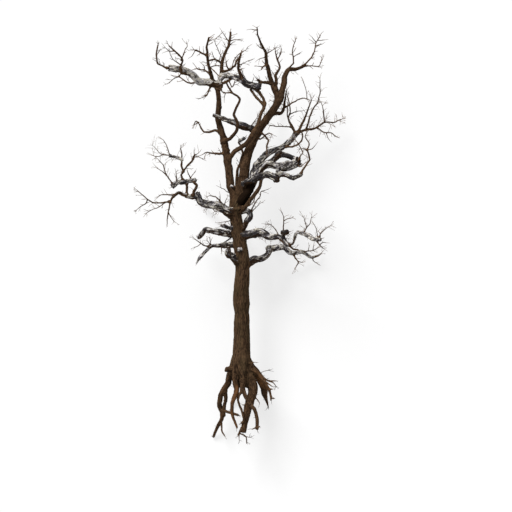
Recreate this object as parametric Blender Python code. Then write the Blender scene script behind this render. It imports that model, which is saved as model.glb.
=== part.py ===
"""A dead broadleaf tree, torn up with its roots bare, lying on its root crown and its back boughs.

Every limb is one tapering tube along a smooth route, cut to sit against the limb that carries it.
Routes are given on the standing tree, in metres: across, up from the root collar, and out from the
trunk towards the side that faces up once the tree lies down.
"""

import math

import bmesh
import bpy
from mathutils import Matrix, Vector
from mathutils.bvhtree import BVHTree

# How the tree lies: the trunk slopes up from the roots, because the crown is the deeper end.
COLLAR_HEIGHT = 1.76  # centre of the root collar above the floor
TRUNK_SLOPE = math.radians(5.9)  # crown end raised
REST_DEPTH = 0.80  # share of its radius at which a limb's centre is held above the floor

# How the pieces meet.
SEAT_GAP = 0.0003  # clearance between a limb and the one that it grows from
WELD = 0.00001  # distance at which a tube's caps join its sides
SHARP_ANGLE = math.radians(50)

# How finely the tubes are drawn: bevel steps round the limb, and rings for each stretch of its route.
TRUNK_FINENESS = (6, 1)  # sixteen sides
BOUGH_FINENESS = (2, 2)  # eight sides
SLENDER_FINENESS = (1, 2)  # six sides
SLENDER_WIDTH = 0.27  # limbs thinner than this at the foot are slender

# Kinds of wood: name, colour and roughness.
TRUNK_BARK = ("trunk_bark", (0.068, 0.042, 0.024), 0.92)
BARK = ("bark", (0.062, 0.040, 0.025), 0.90)
WEATHERED = ("weathered_wood", (0.230, 0.215, 0.200), 0.80)
ROOT = ("root_bark", (0.060, 0.038, 0.022), 0.92)

# The trunk from the root crown to the fork: across, up, width.
TRUNK = (
    (0.10, -1.00, 0.65), (0.08, -0.65, 1.00), (0.04, -0.30, 1.15), (0.02, 0.05, 1.07),
    (0.02, 0.50, 0.88), (0.02, 1.25, 0.81), (0.01, 2.75, 0.79), (0.05, 4.25, 0.74),
    (0.08, 4.85, 0.68), (0.05, 5.40, 0.72), (-0.02, 6.00, 0.63), (-0.15, 6.85, 0.62),
    (-0.28, 7.55, 0.60), (-0.25, 8.05, 0.73), (-0.18, 8.55, 0.88),
)

# Every other limb, each after the one that carries it: name, wood, width at the foot and at the tip,
# and the route, whose first point lies inside the limb that it grows from.
LIMBS = (
    ("stem_left", BARK, 0.43, 0.23, (
        (-0.35, 8.30, 0.00), (-0.51, 9.05, -0.05), (-0.67, 10.05, -0.15), (-0.86, 11.20, -0.26),
        (-1.17, 12.30, -0.30), (-1.12, 13.10, -0.30), (-1.16, 13.95, -0.30))),
    ("stem_right", BARK, 0.54, 0.43, (
        (-0.12, 8.38, 0.00), (0.10, 9.20, -0.03), (0.28, 10.25, -0.10), (0.50, 10.95, -0.15),
        (0.88, 11.78, -0.20), (1.35, 12.45, -0.27), (1.75, 13.05, -0.33), (1.98, 13.65, -0.40))),
    ("stem_side", BARK, 0.53, 0.27, (
        (-0.12, 7.95, 0.08), (0.28, 8.55, 0.15), (0.55, 9.05, 0.12), (0.80, 9.60, 0.08))),
    ("top_left", BARK, 0.31, 0.05, (
        (1.95, 13.50, -0.40), (1.68, 13.88, -0.40), (1.45, 14.35, -0.30), (1.32, 14.95, -0.10),
        (1.24, 15.55, 0.20), (1.00, 16.05, 0.50), (0.83, 16.50, 0.80), (0.80, 16.81, 0.95))),
    ("top_mid", BARK, 0.20, 0.05, (
        (1.74, 13.80, -0.40), (1.75, 14.18, -0.68), (1.73, 14.50, -0.85), (1.93, 14.98, -1.05),
        (1.80, 15.38, -1.20), (1.72, 15.78, -1.35))),
    ("top_right", BARK, 0.31, 0.11, (
        (1.98, 13.50, -0.40), (2.15, 13.95, -0.50), (2.21, 14.45, -0.60), (2.38, 14.80, -0.75),
        (2.75, 14.85, -0.95), (3.20, 15.03, -1.15))),
    ("top_right_tip", BARK, 0.09, 0.04, (
        (3.08, 14.98, -1.10), (3.45, 15.35, -1.25), (3.68, 15.75, -1.40), (3.77, 16.20, -1.55),
        (3.99, 16.60, -1.70))),
    ("elbow", BARK, 0.18, 0.05, (
        (1.60, 12.62, -0.40), (2.02, 12.62, -0.70), (2.16, 12.95, -0.80), (2.23, 13.40, -0.90),
        (2.30, 13.80, -1.00))),
    ("head_left", WEATHERED, 0.38, 0.26, (
        (-1.00, 13.95, -0.30), (-1.45, 14.11, -0.20), (-2.05, 14.20, 0.10), (-2.35, 14.45, 0.35),
        (-2.73, 14.70, 0.60), (-3.55, 14.78, 1.10))),
    ("head_right", WEATHERED, 0.23, 0.30, (
        (-1.15, 14.03, -0.30), (-0.98, 14.43, -0.28), (-0.55, 14.49, -0.15), (-0.15, 14.33, -0.02),
        (0.30, 14.04, 0.12), (0.93, 13.83, 0.25))),
    ("head_tip", BARK, 0.09, 0.05, (
        (-3.40, 14.75, 1.00), (-3.80, 14.83, 1.25), (-4.10, 14.98, 1.40), (-4.19, 15.45, 1.50),
        (-4.10, 15.88, 1.60))),
    ("head_riser", BARK, 0.11, 0.05, (
        (-2.60, 14.58, 0.50), (-2.95, 14.53, 0.80), (-3.00, 14.83, 1.00), (-2.90, 15.18, 1.15),
        (-3.15, 15.50, 1.30), (-3.55, 15.85, 1.50))),
    ("spike_left", BARK, 0.15, 0.04, (
        (-1.43, 14.15, -0.20), (-1.53, 14.65, 0.00), (-1.65, 15.25, 0.25), (-1.69, 15.85, 0.50),
        (-1.58, 16.32, 0.70))),
    ("spike_mid", BARK, 0.16, 0.05, (
        (-0.98, 14.43, -0.30), (-0.97, 14.95, -0.50), (-0.88, 15.45, -0.70), (-0.61, 16.10, -0.95),
        (-0.53, 16.73, -1.20))),
    ("spike_right", BARK, 0.14, 0.05, (
        (0.15, 14.15, 0.07), (-0.08, 14.58, 0.35), (-0.12, 15.05, 0.60), (0.04, 15.70, 0.90))),
    ("cross_limb", WEATHERED, 0.31, 0.12, (
        (0.83, 11.62, -0.20), (0.45, 11.82, 0.05), (-0.05, 11.99, 0.15), (-0.65, 12.23, 0.12),
        (-1.38, 12.48, 0.10))),
    ("arch_low", BARK, 0.23, 0.21, (
        (-0.68, 10.20, -0.18), (-0.43, 10.53, 0.02), (-0.03, 10.85, 0.20), (0.38, 11.20, 0.32),
        (0.65, 11.62, 0.42))),
    ("arch_high", BARK, 0.19, 0.13, (
        (0.56, 11.46, 0.38), (0.83, 12.05, 0.42), (1.05, 12.65, 0.38), (1.23, 13.05, 0.34),
        (1.10, 13.33, 0.28), (0.83, 13.70, 0.22))),
    ("zigzag", BARK, 0.19, 0.08, (
        (-0.93, 11.18, -0.25), (-0.55, 11.31, 0.05), (-0.23, 11.73, 0.42), (-0.18, 12.10, 0.52),
        (-0.35, 12.50, 0.55), (-0.06, 13.28, 0.50), (-0.45, 13.59, 0.55), (-0.73, 14.08, 0.60))),
    ("squiggle", BARK, 0.15, 0.04, (
        (-1.00, 11.60, -0.28), (-1.33, 11.76, -0.45), (-1.60, 11.67, -0.60), (-1.88, 11.71, -0.70),
        (-2.11, 12.10, -0.85), (-2.26, 12.23, -0.95), (-2.38, 12.06, -1.00))),
    ("bough_upper", WEATHERED, 0.23, 0.19, (
        (0.55, 9.20, 0.08), (0.69, 9.85, -0.10), (1.00, 10.28, -0.35), (1.55, 10.74, -0.65),
        (2.15, 10.97, -0.90), (2.78, 11.60, -1.15))),
    ("bough_middle", WEATHERED, 0.29, 0.22, (
        (0.53, 9.05, 0.12), (0.97, 9.76, 0.20), (1.48, 10.18, 0.30), (1.98, 10.61, 0.40))),
    ("bough_bar", WEATHERED, 0.18, 0.23, (
        (1.89, 10.54, 0.38), (2.23, 10.49, 0.45), (2.80, 10.25, 0.60))),
    ("bough_fat", WEATHERED, 0.26, 0.27, (
        (1.33, 10.03, 0.28), (1.62, 9.99, 0.55), (2.05, 9.88, 0.80), (2.50, 9.96, 1.00),
        (2.85, 10.18, 1.15))),
    ("bough_low", WEATHERED, 0.26, 0.24, (
        (0.10, 8.97, 0.05), (0.35, 9.15, 0.50), (0.80, 9.35, 0.72), (1.35, 9.48, 0.95),
        (1.80, 9.29, 1.15))),
    ("bough_low_riser", WEATHERED, 0.21, 0.17, (
        (1.78, 9.25, 1.15), (1.87, 9.55, 1.20), (1.90, 9.83, 1.25))),
    ("bough_low_tail", WEATHERED, 0.16, 0.12, (
        (1.87, 9.55, 1.20), (2.20, 9.46, 1.35), (2.60, 9.34, 1.50), (3.00, 9.48, 1.65))),
    ("strut", BARK, 0.20, 0.14, (
        (-0.10, 7.70, 0.20), (0.23, 7.90, 0.50), (0.50, 8.28, 0.66), (0.88, 8.75, 0.76),
        (1.02, 9.25, 0.78))),
    ("knot_right", WEATHERED, 0.31, 0.16, (
        (-0.03, 6.73, 0.05), (0.28, 6.93, 0.12), (0.40, 7.28, 0.20), (0.57, 7.54, 0.25),
        (0.43, 7.70, 0.28), (0.25, 7.69, 0.30))),
    ("crown_right_a", BARK, 0.16, 0.05, (
        (2.73, 11.54, -1.12), (2.98, 11.90, -1.15), (3.25, 12.55, -1.10), (3.55, 13.33, -1.00))),
    ("crown_right_b", BARK, 0.14, 0.05, (
        (2.75, 11.58, -1.15), (3.08, 11.77, -1.30), (3.75, 11.92, -1.60), (4.23, 12.23, -1.85),
        (4.65, 12.21, -2.00), (5.08, 12.38, -2.20))),
    ("crown_right_c", BARK, 0.10, 0.04, (
        (3.28, 11.84, -1.38), (3.40, 12.25, -1.40), (3.60, 12.81, -1.35), (3.88, 13.20, -1.30),
        (3.98, 13.75, -1.20), (3.97, 14.30, -1.10))),
    ("left_crook", WEATHERED, 0.40, 0.25, (
        (-0.25, 7.53, 0.00), (-0.62, 7.66, 0.20), (-1.10, 7.94, 0.45), (-1.75, 8.04, 0.80),
        (-2.08, 8.25, 1.00), (-2.15, 8.60, 1.10))),
    ("left_cup", WEATHERED, 0.21, 0.05, (
        (-2.12, 8.39, 1.05), (-2.60, 8.40, 1.25), (-3.08, 8.56, 1.45), (-3.41, 8.33, 1.60),
        (-3.57, 7.70, 1.70), (-3.65, 6.98, 1.80))),
    ("left_out", BARK, 0.09, 0.04, (
        (-3.48, 8.12, 1.63), (-3.85, 8.09, 1.75), (-4.33, 8.08, 1.85), (-4.67, 8.30, 1.95),
        (-5.10, 8.68, 2.05))),
    ("left_bar", WEATHERED, 0.17, 0.17, (
        (-2.27, 9.20, 1.20), (-2.75, 9.14, 1.25), (-3.12, 9.10, 1.35), (-3.40, 8.88, 1.40))),
    ("left_post", BARK, 0.11, 0.10, (
        (-2.70, 8.43, 1.28), (-2.68, 9.14, 1.25))),
    ("left_shoot", BARK, 0.10, 0.05, (
        (-2.85, 9.15, 1.28), (-2.89, 9.55, 1.40), (-2.60, 9.95, 1.50), (-2.33, 10.23, 1.60),
        (-2.28, 10.48, 1.65))),
    ("left_fork", BARK, 0.11, 0.04, (
        (-2.83, 9.60, 1.42), (-2.94, 9.95, 1.50), (-2.95, 10.23, 1.60), (-3.50, 10.42, 1.80),
        (-3.95, 10.50, 1.95), (-4.35, 10.93, 2.10))),
    ("left_mid", WEATHERED, 0.31, 0.19, (
        (-0.12, 6.53, 0.00), (-0.75, 6.60, -0.35), (-1.35, 6.68, -0.75), (-1.78, 6.76, -1.05),
        (-1.95, 6.58, -1.20), (-2.20, 6.41, -1.35))),
    ("left_low", WEATHERED, 0.30, 0.06, (
        (-0.05, 6.00, 0.00), (-0.70, 5.98, -0.12), (-1.50, 5.91, -0.05), (-1.83, 5.60, 0.05),
        (-2.08, 5.32, 0.15), (-2.23, 5.05, 0.25))),
    ("left_stub", WEATHERED, 0.35, 0.19, (
        (0.00, 5.20, 0.05), (-0.40, 5.39, 0.25), (-0.60, 5.56, 0.40), (-0.61, 5.80, 0.50))),
    ("right_upper", WEATHERED, 0.40, 0.12, (
        (-0.08, 6.43, 0.00), (0.45, 6.53, 0.25), (0.98, 6.64, 0.50), (1.40, 6.41, 0.70),
        (1.95, 6.39, 0.95), (2.33, 5.99, 1.15))),
    ("right_upper_out", WEATHERED, 0.12, 0.13, (
        (2.27, 6.02, 1.13), (2.58, 6.06, 1.30), (2.78, 6.60, 1.45), (3.10, 6.58, 1.60),
        (3.60, 6.30, 1.85), (3.93, 6.30, 2.00))),
    ("right_lower", WEATHERED, 0.42, 0.23, (
        (0.05, 4.90, 0.00), (0.55, 5.23, -0.30), (1.15, 5.33, -0.60), (1.36, 5.54, -0.72),
        (1.42, 5.83, -0.80))),
    ("right_lower_out", WEATHERED, 0.21, 0.05, (
        (1.39, 5.79, -0.80), (2.15, 5.87, -1.15), (2.50, 5.59, -1.35), (3.05, 5.65, -1.60),
        (3.62, 5.38, -1.90), (4.03, 5.56, -2.10))),
    ("back_left", WEATHERED, 0.25, 0.15, (
        (-0.25, 7.45, -0.10), (-0.58, 7.63, -0.60), (-1.05, 7.89, -1.25), (-1.50, 8.01, -1.85),
        (-1.90, 8.10, -2.35), (-2.10, 8.30, -2.90))),
    ("back_right", WEATHERED, 0.26, 0.14, (
        (0.00, 6.30, -0.10), (0.43, 6.49, -0.70), (0.90, 6.60, -1.30), (1.35, 6.45, -1.90),
        (1.80, 6.40, -2.45), (2.15, 6.25, -2.90))),
    ("back_centre", BARK, 0.30, 0.12, (
        (-0.03, 5.90, -0.10), (-0.05, 6.18, -0.80), (-0.12, 6.60, -1.40), (-0.22, 7.30, -1.90),
        (-0.24, 8.00, -2.15), (-0.18, 8.70, -2.30))),
    ("back_high", BARK, 0.25, 0.10, (
        (0.58, 11.05, -0.15), (0.75, 11.48, -0.80), (1.10, 12.12, -1.50), (1.53, 12.73, -2.10),
        (1.85, 13.30, -2.70), (1.98, 13.80, -3.40))),
    ("root_left", ROOT, 0.35, 0.13, (
        (-0.20, -0.10, 0.00), (-0.58, -0.53, -0.15), (-0.71, -1.00, -0.30), (-1.01, -1.58, -0.50),
        (-1.10, -2.00, -0.60), (-0.92, -2.60, -0.80), (-1.12, -3.05, -1.00), (-1.40, -3.68, -1.60))),
    ("root_left_inner", ROOT, 0.17, 0.15, (
        (-0.83, -1.23, -0.38), (-0.75, -1.60, -0.40), (-0.80, -1.98, -0.50), (-0.91, -2.55, -0.78))),
    ("root_front_left", ROOT, 0.26, 0.07, (
        (-0.20, -0.30, 0.15), (-0.32, -0.80, 0.42), (-0.23, -1.25, 0.50), (-0.45, -1.93, 0.65),
        (-0.43, -2.40, 0.70), (-0.20, -3.10, 0.85))),
    ("root_centre", ROOT, 0.22, 0.11, (
        (0.11, -0.45, 0.25), (0.09, -1.00, 0.46), (0.33, -1.70, 0.68), (0.68, -2.23, 0.82),
        (0.80, -2.70, 0.90), (0.80, -3.15, 0.95))),
    ("root_thick", ROOT, 0.42, 0.17, (
        (0.35, -0.35, 0.02), (0.62, -1.00, 0.12), (0.56, -1.50, 0.20), (0.32, -2.10, 0.30),
        (0.25, -2.60, 0.35), (0.12, -3.33, 0.40))),
    ("root_right", ROOT, 0.41, 0.09, (
        (0.33, 0.00, -0.05), (0.80, -0.28, -0.25), (1.00, -0.80, -0.45), (1.18, -1.45, -0.85),
        (1.38, -2.23, -1.70))),
    ("root_side", ROOT, 0.25, 0.08, (
        (0.50, -0.08, 0.10), (0.94, -0.45, 0.30), (1.18, -0.85, 0.45), (1.40, -1.25, 0.55),
        (1.50, -1.73, 0.60))),
    ("root_back_left", ROOT, 0.25, 0.13, (
        (-0.05, -0.30, -0.20), (-0.21, -0.80, -0.62), (-0.26, -1.30, -1.00), (-0.40, -1.80, -1.40),
        (-0.45, -2.20, -1.90))),
    ("root_back_right", ROOT, 0.35, 0.15, (
        (0.23, -0.25, -0.20), (0.48, -0.90, -0.62), (0.50, -1.40, -1.05), (0.38, -1.90, -1.50),
        (0.28, -2.40, -2.00))),
)


def clear_scene():
    for thing in list(bpy.data.objects):
        bpy.data.objects.remove(thing)


def wood_material(name, wood):
    _, colour, roughness = wood
    material = bpy.data.materials.new(name + "_surface")
    material.use_nodes = True
    shader = material.node_tree.nodes["Principled BSDF"]
    shader.inputs["Base Color"].default_value = (*colour, 1.0)
    shader.inputs["Roughness"].default_value = roughness
    shader.inputs["Metallic"].default_value = 0.0
    return material


def lay_down(across, up, out, radius):
    """The place of a point of the standing tree once the tree lies down, held up by the floor."""
    place = Matrix.Rotation(TRUNK_SLOPE, 4, "X") @ Vector((across, up, out))
    place.z = max(place.z + COLLAR_HEIGHT, REST_DEPTH * radius)
    return place


def trunk_stations():
    return [(lay_down(across, up, 0.0, width / 2), width / 2) for across, up, width in TRUNK]


def limb_stations(foot_width, tip_width, route):
    """Places along a limb with its radius there, which narrows evenly from foot to tip."""
    run = [0.0]
    for before, after in zip(route, route[1:]):
        run.append(run[-1] + (Vector(after) - Vector(before)).length)
    stations = []
    for point, distance in zip(route, run):
        share = distance / run[-1]
        radius = (foot_width + (tip_width - foot_width) * share) / 2
        stations.append((lay_down(*point, radius), radius))
    return stations


def tube_mesh(name, stations, detail, steps):
    """A closed tube through the stations, from a bevelled curve."""
    curve = bpy.data.curves.new(name, "CURVE")
    curve.dimensions = "3D"
    curve.bevel_depth = 1.0
    curve.bevel_resolution = detail
    curve.resolution_u = steps
    curve.use_fill_caps = True
    spline = curve.splines.new("BEZIER")
    spline.bezier_points.add(len(stations) - 1)
    for knot, (place, radius) in zip(spline.bezier_points, stations):
        knot.co = place
        knot.radius = radius
        knot.handle_left_type = "AUTO"
        knot.handle_right_type = "AUTO"
    drawn = bpy.data.objects.new(name, curve)
    bpy.context.collection.objects.link(drawn)
    graph = bpy.context.evaluated_depsgraph_get()
    mesh = bpy.data.meshes.new_from_object(drawn.evaluated_get(graph))
    bpy.data.objects.remove(drawn)
    bpy.data.curves.remove(curve)
    mesh.name = name
    close_mesh(mesh)
    return mesh


def close_mesh(mesh):
    """Welds the caps on, faces everything outwards and splits it into flat faces."""
    shape = bmesh.new()
    shape.from_mesh(mesh)
    bmesh.ops.remove_doubles(shape, verts=shape.verts, dist=WELD)
    bmesh.ops.triangulate(shape, faces=shape.faces)
    bmesh.ops.recalc_face_normals(shape, faces=shape.faces)
    shape.to_mesh(mesh)
    shape.free()


def swollen(mesh, amount):
    """A copy of a closed mesh, larger by an amount all over."""
    shape = bmesh.new()
    shape.from_mesh(mesh)
    for vertex in shape.verts:
        vertex.co += vertex.normal * vertex.calc_shell_factor() * amount
    larger = bpy.data.meshes.new(mesh.name + "_seat")
    shape.to_mesh(larger)
    shape.free()
    return larger


def flatten_on_floor(mesh):
    """Presses flat whatever would reach below the floor."""
    for vertex in mesh.vertices:
        vertex.co.z = max(vertex.co.z, 0.0)


def add_object(name, mesh, parent):
    thing = bpy.data.objects.new(name, mesh)
    thing.parent = parent
    bpy.context.collection.objects.link(thing)
    return thing


def surface_tree(mesh):
    return BVHTree.FromPolygons([v.co for v in mesh.vertices], [p.vertices for p in mesh.polygons])


def add_limb(name, wood, stations, fineness, parent, earlier):
    """One limb, cut round each earlier limb that it runs into, and the cutter for the limbs after it."""
    mesh = tube_mesh(name, stations, *fineness)
    flatten_on_floor(mesh)
    surface = surface_tree(mesh)
    mesh.shade_smooth()
    mesh.set_sharp_from_angle(angle=SHARP_ANGLE)
    mesh.materials.append(wood_material(name, wood))
    limb = add_object(name, mesh, parent)
    for cutter, cutter_surface in earlier:
        if surface.overlap(cutter_surface):
            cut = limb.modifiers.new("seat_on_" + cutter.name, "BOOLEAN")
            cut.operation = "DIFFERENCE"
            cut.object = cutter
    cutter_mesh = swollen(mesh, SEAT_GAP)
    cutter = add_object(name + "_seat", cutter_mesh, parent)
    cutter.hide_render = True
    cutter.display_type = "WIRE"
    earlier.append((cutter, surface_tree(cutter_mesh)))
    return limb


def add_tree():
    tree = bpy.data.objects.new("tree", None)
    bpy.context.collection.objects.link(tree)
    earlier = []
    limbs = [add_limb("trunk", TRUNK_BARK, trunk_stations(), TRUNK_FINENESS, tree, earlier)]
    for name, wood, foot_width, tip_width, route in LIMBS:
        fineness = SLENDER_FINENESS if foot_width < SLENDER_WIDTH else BOUGH_FINENESS
        stations = limb_stations(foot_width, tip_width, route)
        limbs.append(add_limb(name, wood, stations, fineness, tree, earlier))
    return tree, limbs


def centre_over_origin(tree, limbs):
    """Moves the tree along the floor until its bounding box is centred on the origin."""
    graph = bpy.context.evaluated_depsgraph_get()
    corners = [Vector(corner) for limb in limbs for corner in limb.evaluated_get(graph).bound_box]
    across = [corner.x for corner in corners]
    along = [corner.y for corner in corners]
    tree.location = (-(min(across) + max(across)) / 2, -(min(along) + max(along)) / 2, 0.0)


def main():
    clear_scene()
    tree, limbs = add_tree()
    centre_over_origin(tree, limbs)


main()
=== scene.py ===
"""Looks of the dead broadleaf tree that lies bare-rooted on the floor.

Each limb of the frame is replaced by a mesh with its bark in relief, knotted, blended into the limb
that carries it and finished as the weather left it, with painted light on the side toward the key
light and painted shade away from it. Small limbs, twigs and root fibres that the frame leaves out
grow on from there. All lengths are in metres.
"""

import functools
import math
import random
from collections import namedtuple

import bpy
import numpy as np
from bpy.props import FloatProperty, FloatVectorProperty, IntProperty, PointerProperty
from bpy.types import NodeSocket, Operator, Panel, PropertyGroup, Scene
from mathutils import Matrix, Vector, noise


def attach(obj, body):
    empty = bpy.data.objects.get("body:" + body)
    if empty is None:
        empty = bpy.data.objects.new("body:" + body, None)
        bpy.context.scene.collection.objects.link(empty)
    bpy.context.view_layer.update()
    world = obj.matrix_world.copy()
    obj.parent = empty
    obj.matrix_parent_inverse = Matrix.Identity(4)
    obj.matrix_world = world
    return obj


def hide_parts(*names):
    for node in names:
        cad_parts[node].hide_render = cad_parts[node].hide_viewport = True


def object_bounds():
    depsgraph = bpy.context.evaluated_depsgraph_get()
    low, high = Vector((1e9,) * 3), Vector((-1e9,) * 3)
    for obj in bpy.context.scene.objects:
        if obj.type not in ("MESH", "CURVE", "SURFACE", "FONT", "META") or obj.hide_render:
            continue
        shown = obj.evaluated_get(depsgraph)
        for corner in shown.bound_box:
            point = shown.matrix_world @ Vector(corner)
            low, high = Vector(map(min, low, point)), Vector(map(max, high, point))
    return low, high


bl_info = {
    "name": "Dead Tree",
    "version": (1, 0, 0),
    "blender": (4, 5, 0),
    "location": "3D View > Sidebar > Dead Tree",
    "description": "Dresses the solids of a lying dead tree with bark, twigs and root fibres",
    "category": "Object",
}

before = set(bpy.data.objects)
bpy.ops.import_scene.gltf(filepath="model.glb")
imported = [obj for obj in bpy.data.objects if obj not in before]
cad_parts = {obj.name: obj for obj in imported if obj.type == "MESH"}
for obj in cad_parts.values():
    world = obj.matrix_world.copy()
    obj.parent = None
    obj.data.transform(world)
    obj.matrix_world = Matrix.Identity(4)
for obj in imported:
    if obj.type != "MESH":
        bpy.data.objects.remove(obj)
CAD_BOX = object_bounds()

# How the tree lies in the frame.
COLLAR = Vector((0.009995, -6.616746, 1.76))  # centre of the root collar
TRUNK_SLOPE = math.radians(5.9)  # crown end raised
REST_DEPTH = 0.8  # share of its radius at which a limb's centre is held above the floor
LEAN = Matrix.Rotation(TRUNK_SLOPE, 3, "X")
TREE_ACROSS = LEAN @ Vector((1.0, 0.0, 0.0))
TREE_UP = LEAN @ Vector((0.0, 1.0, 0.0))
TREE_OUT = LEAN @ Vector((0.0, 0.0, 1.0))
# The side toward the key light. Painted light falls on it, painted shade on the far side, and the crust
# gathers there.
LIGHT_AND_WEATHER_SIDE = (TREE_UP * 0.85 + TREE_OUT * 0.4 - TREE_ACROSS * 0.1).normalized()
REACH = 0.024  # share of each side of the frame's box by which twigs may stand proud of it
FLOOR_CLEARANCE = 0.004  # the lowest that a twig comes to the floor

# Kinds of wood, by the slot that each takes its finish from.
TRUNK_BARK = "trunk_bark"
BARK = "bark"
WEATHERED = "weathered_wood"
ROOT = "root_bark"

# The trunk from the root crown to the fork: across, up, width.
TRUNK = (
    (0.1, -1.0, 0.65), (0.08, -0.65, 1.0), (0.04, -0.3, 1.12), (0.01, 0.05, 1.02),
    (0.03, 0.5, 0.86), (0.03, 1.25, 0.81), (0.04, 2.15, 0.76), (0.04, 2.58, 0.7),
    (0.01, 3.05, 0.83), (0.0, 3.75, 0.77), (0.05, 4.25, 0.75),
    (0.08, 4.85, 0.68), (0.05, 5.4, 0.72), (-0.02, 6.0, 0.63), (-0.15, 6.85, 0.62),
    (-0.28, 7.55, 0.6), (-0.25, 8.05, 0.73), (-0.18, 8.55, 0.88),
)

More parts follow.
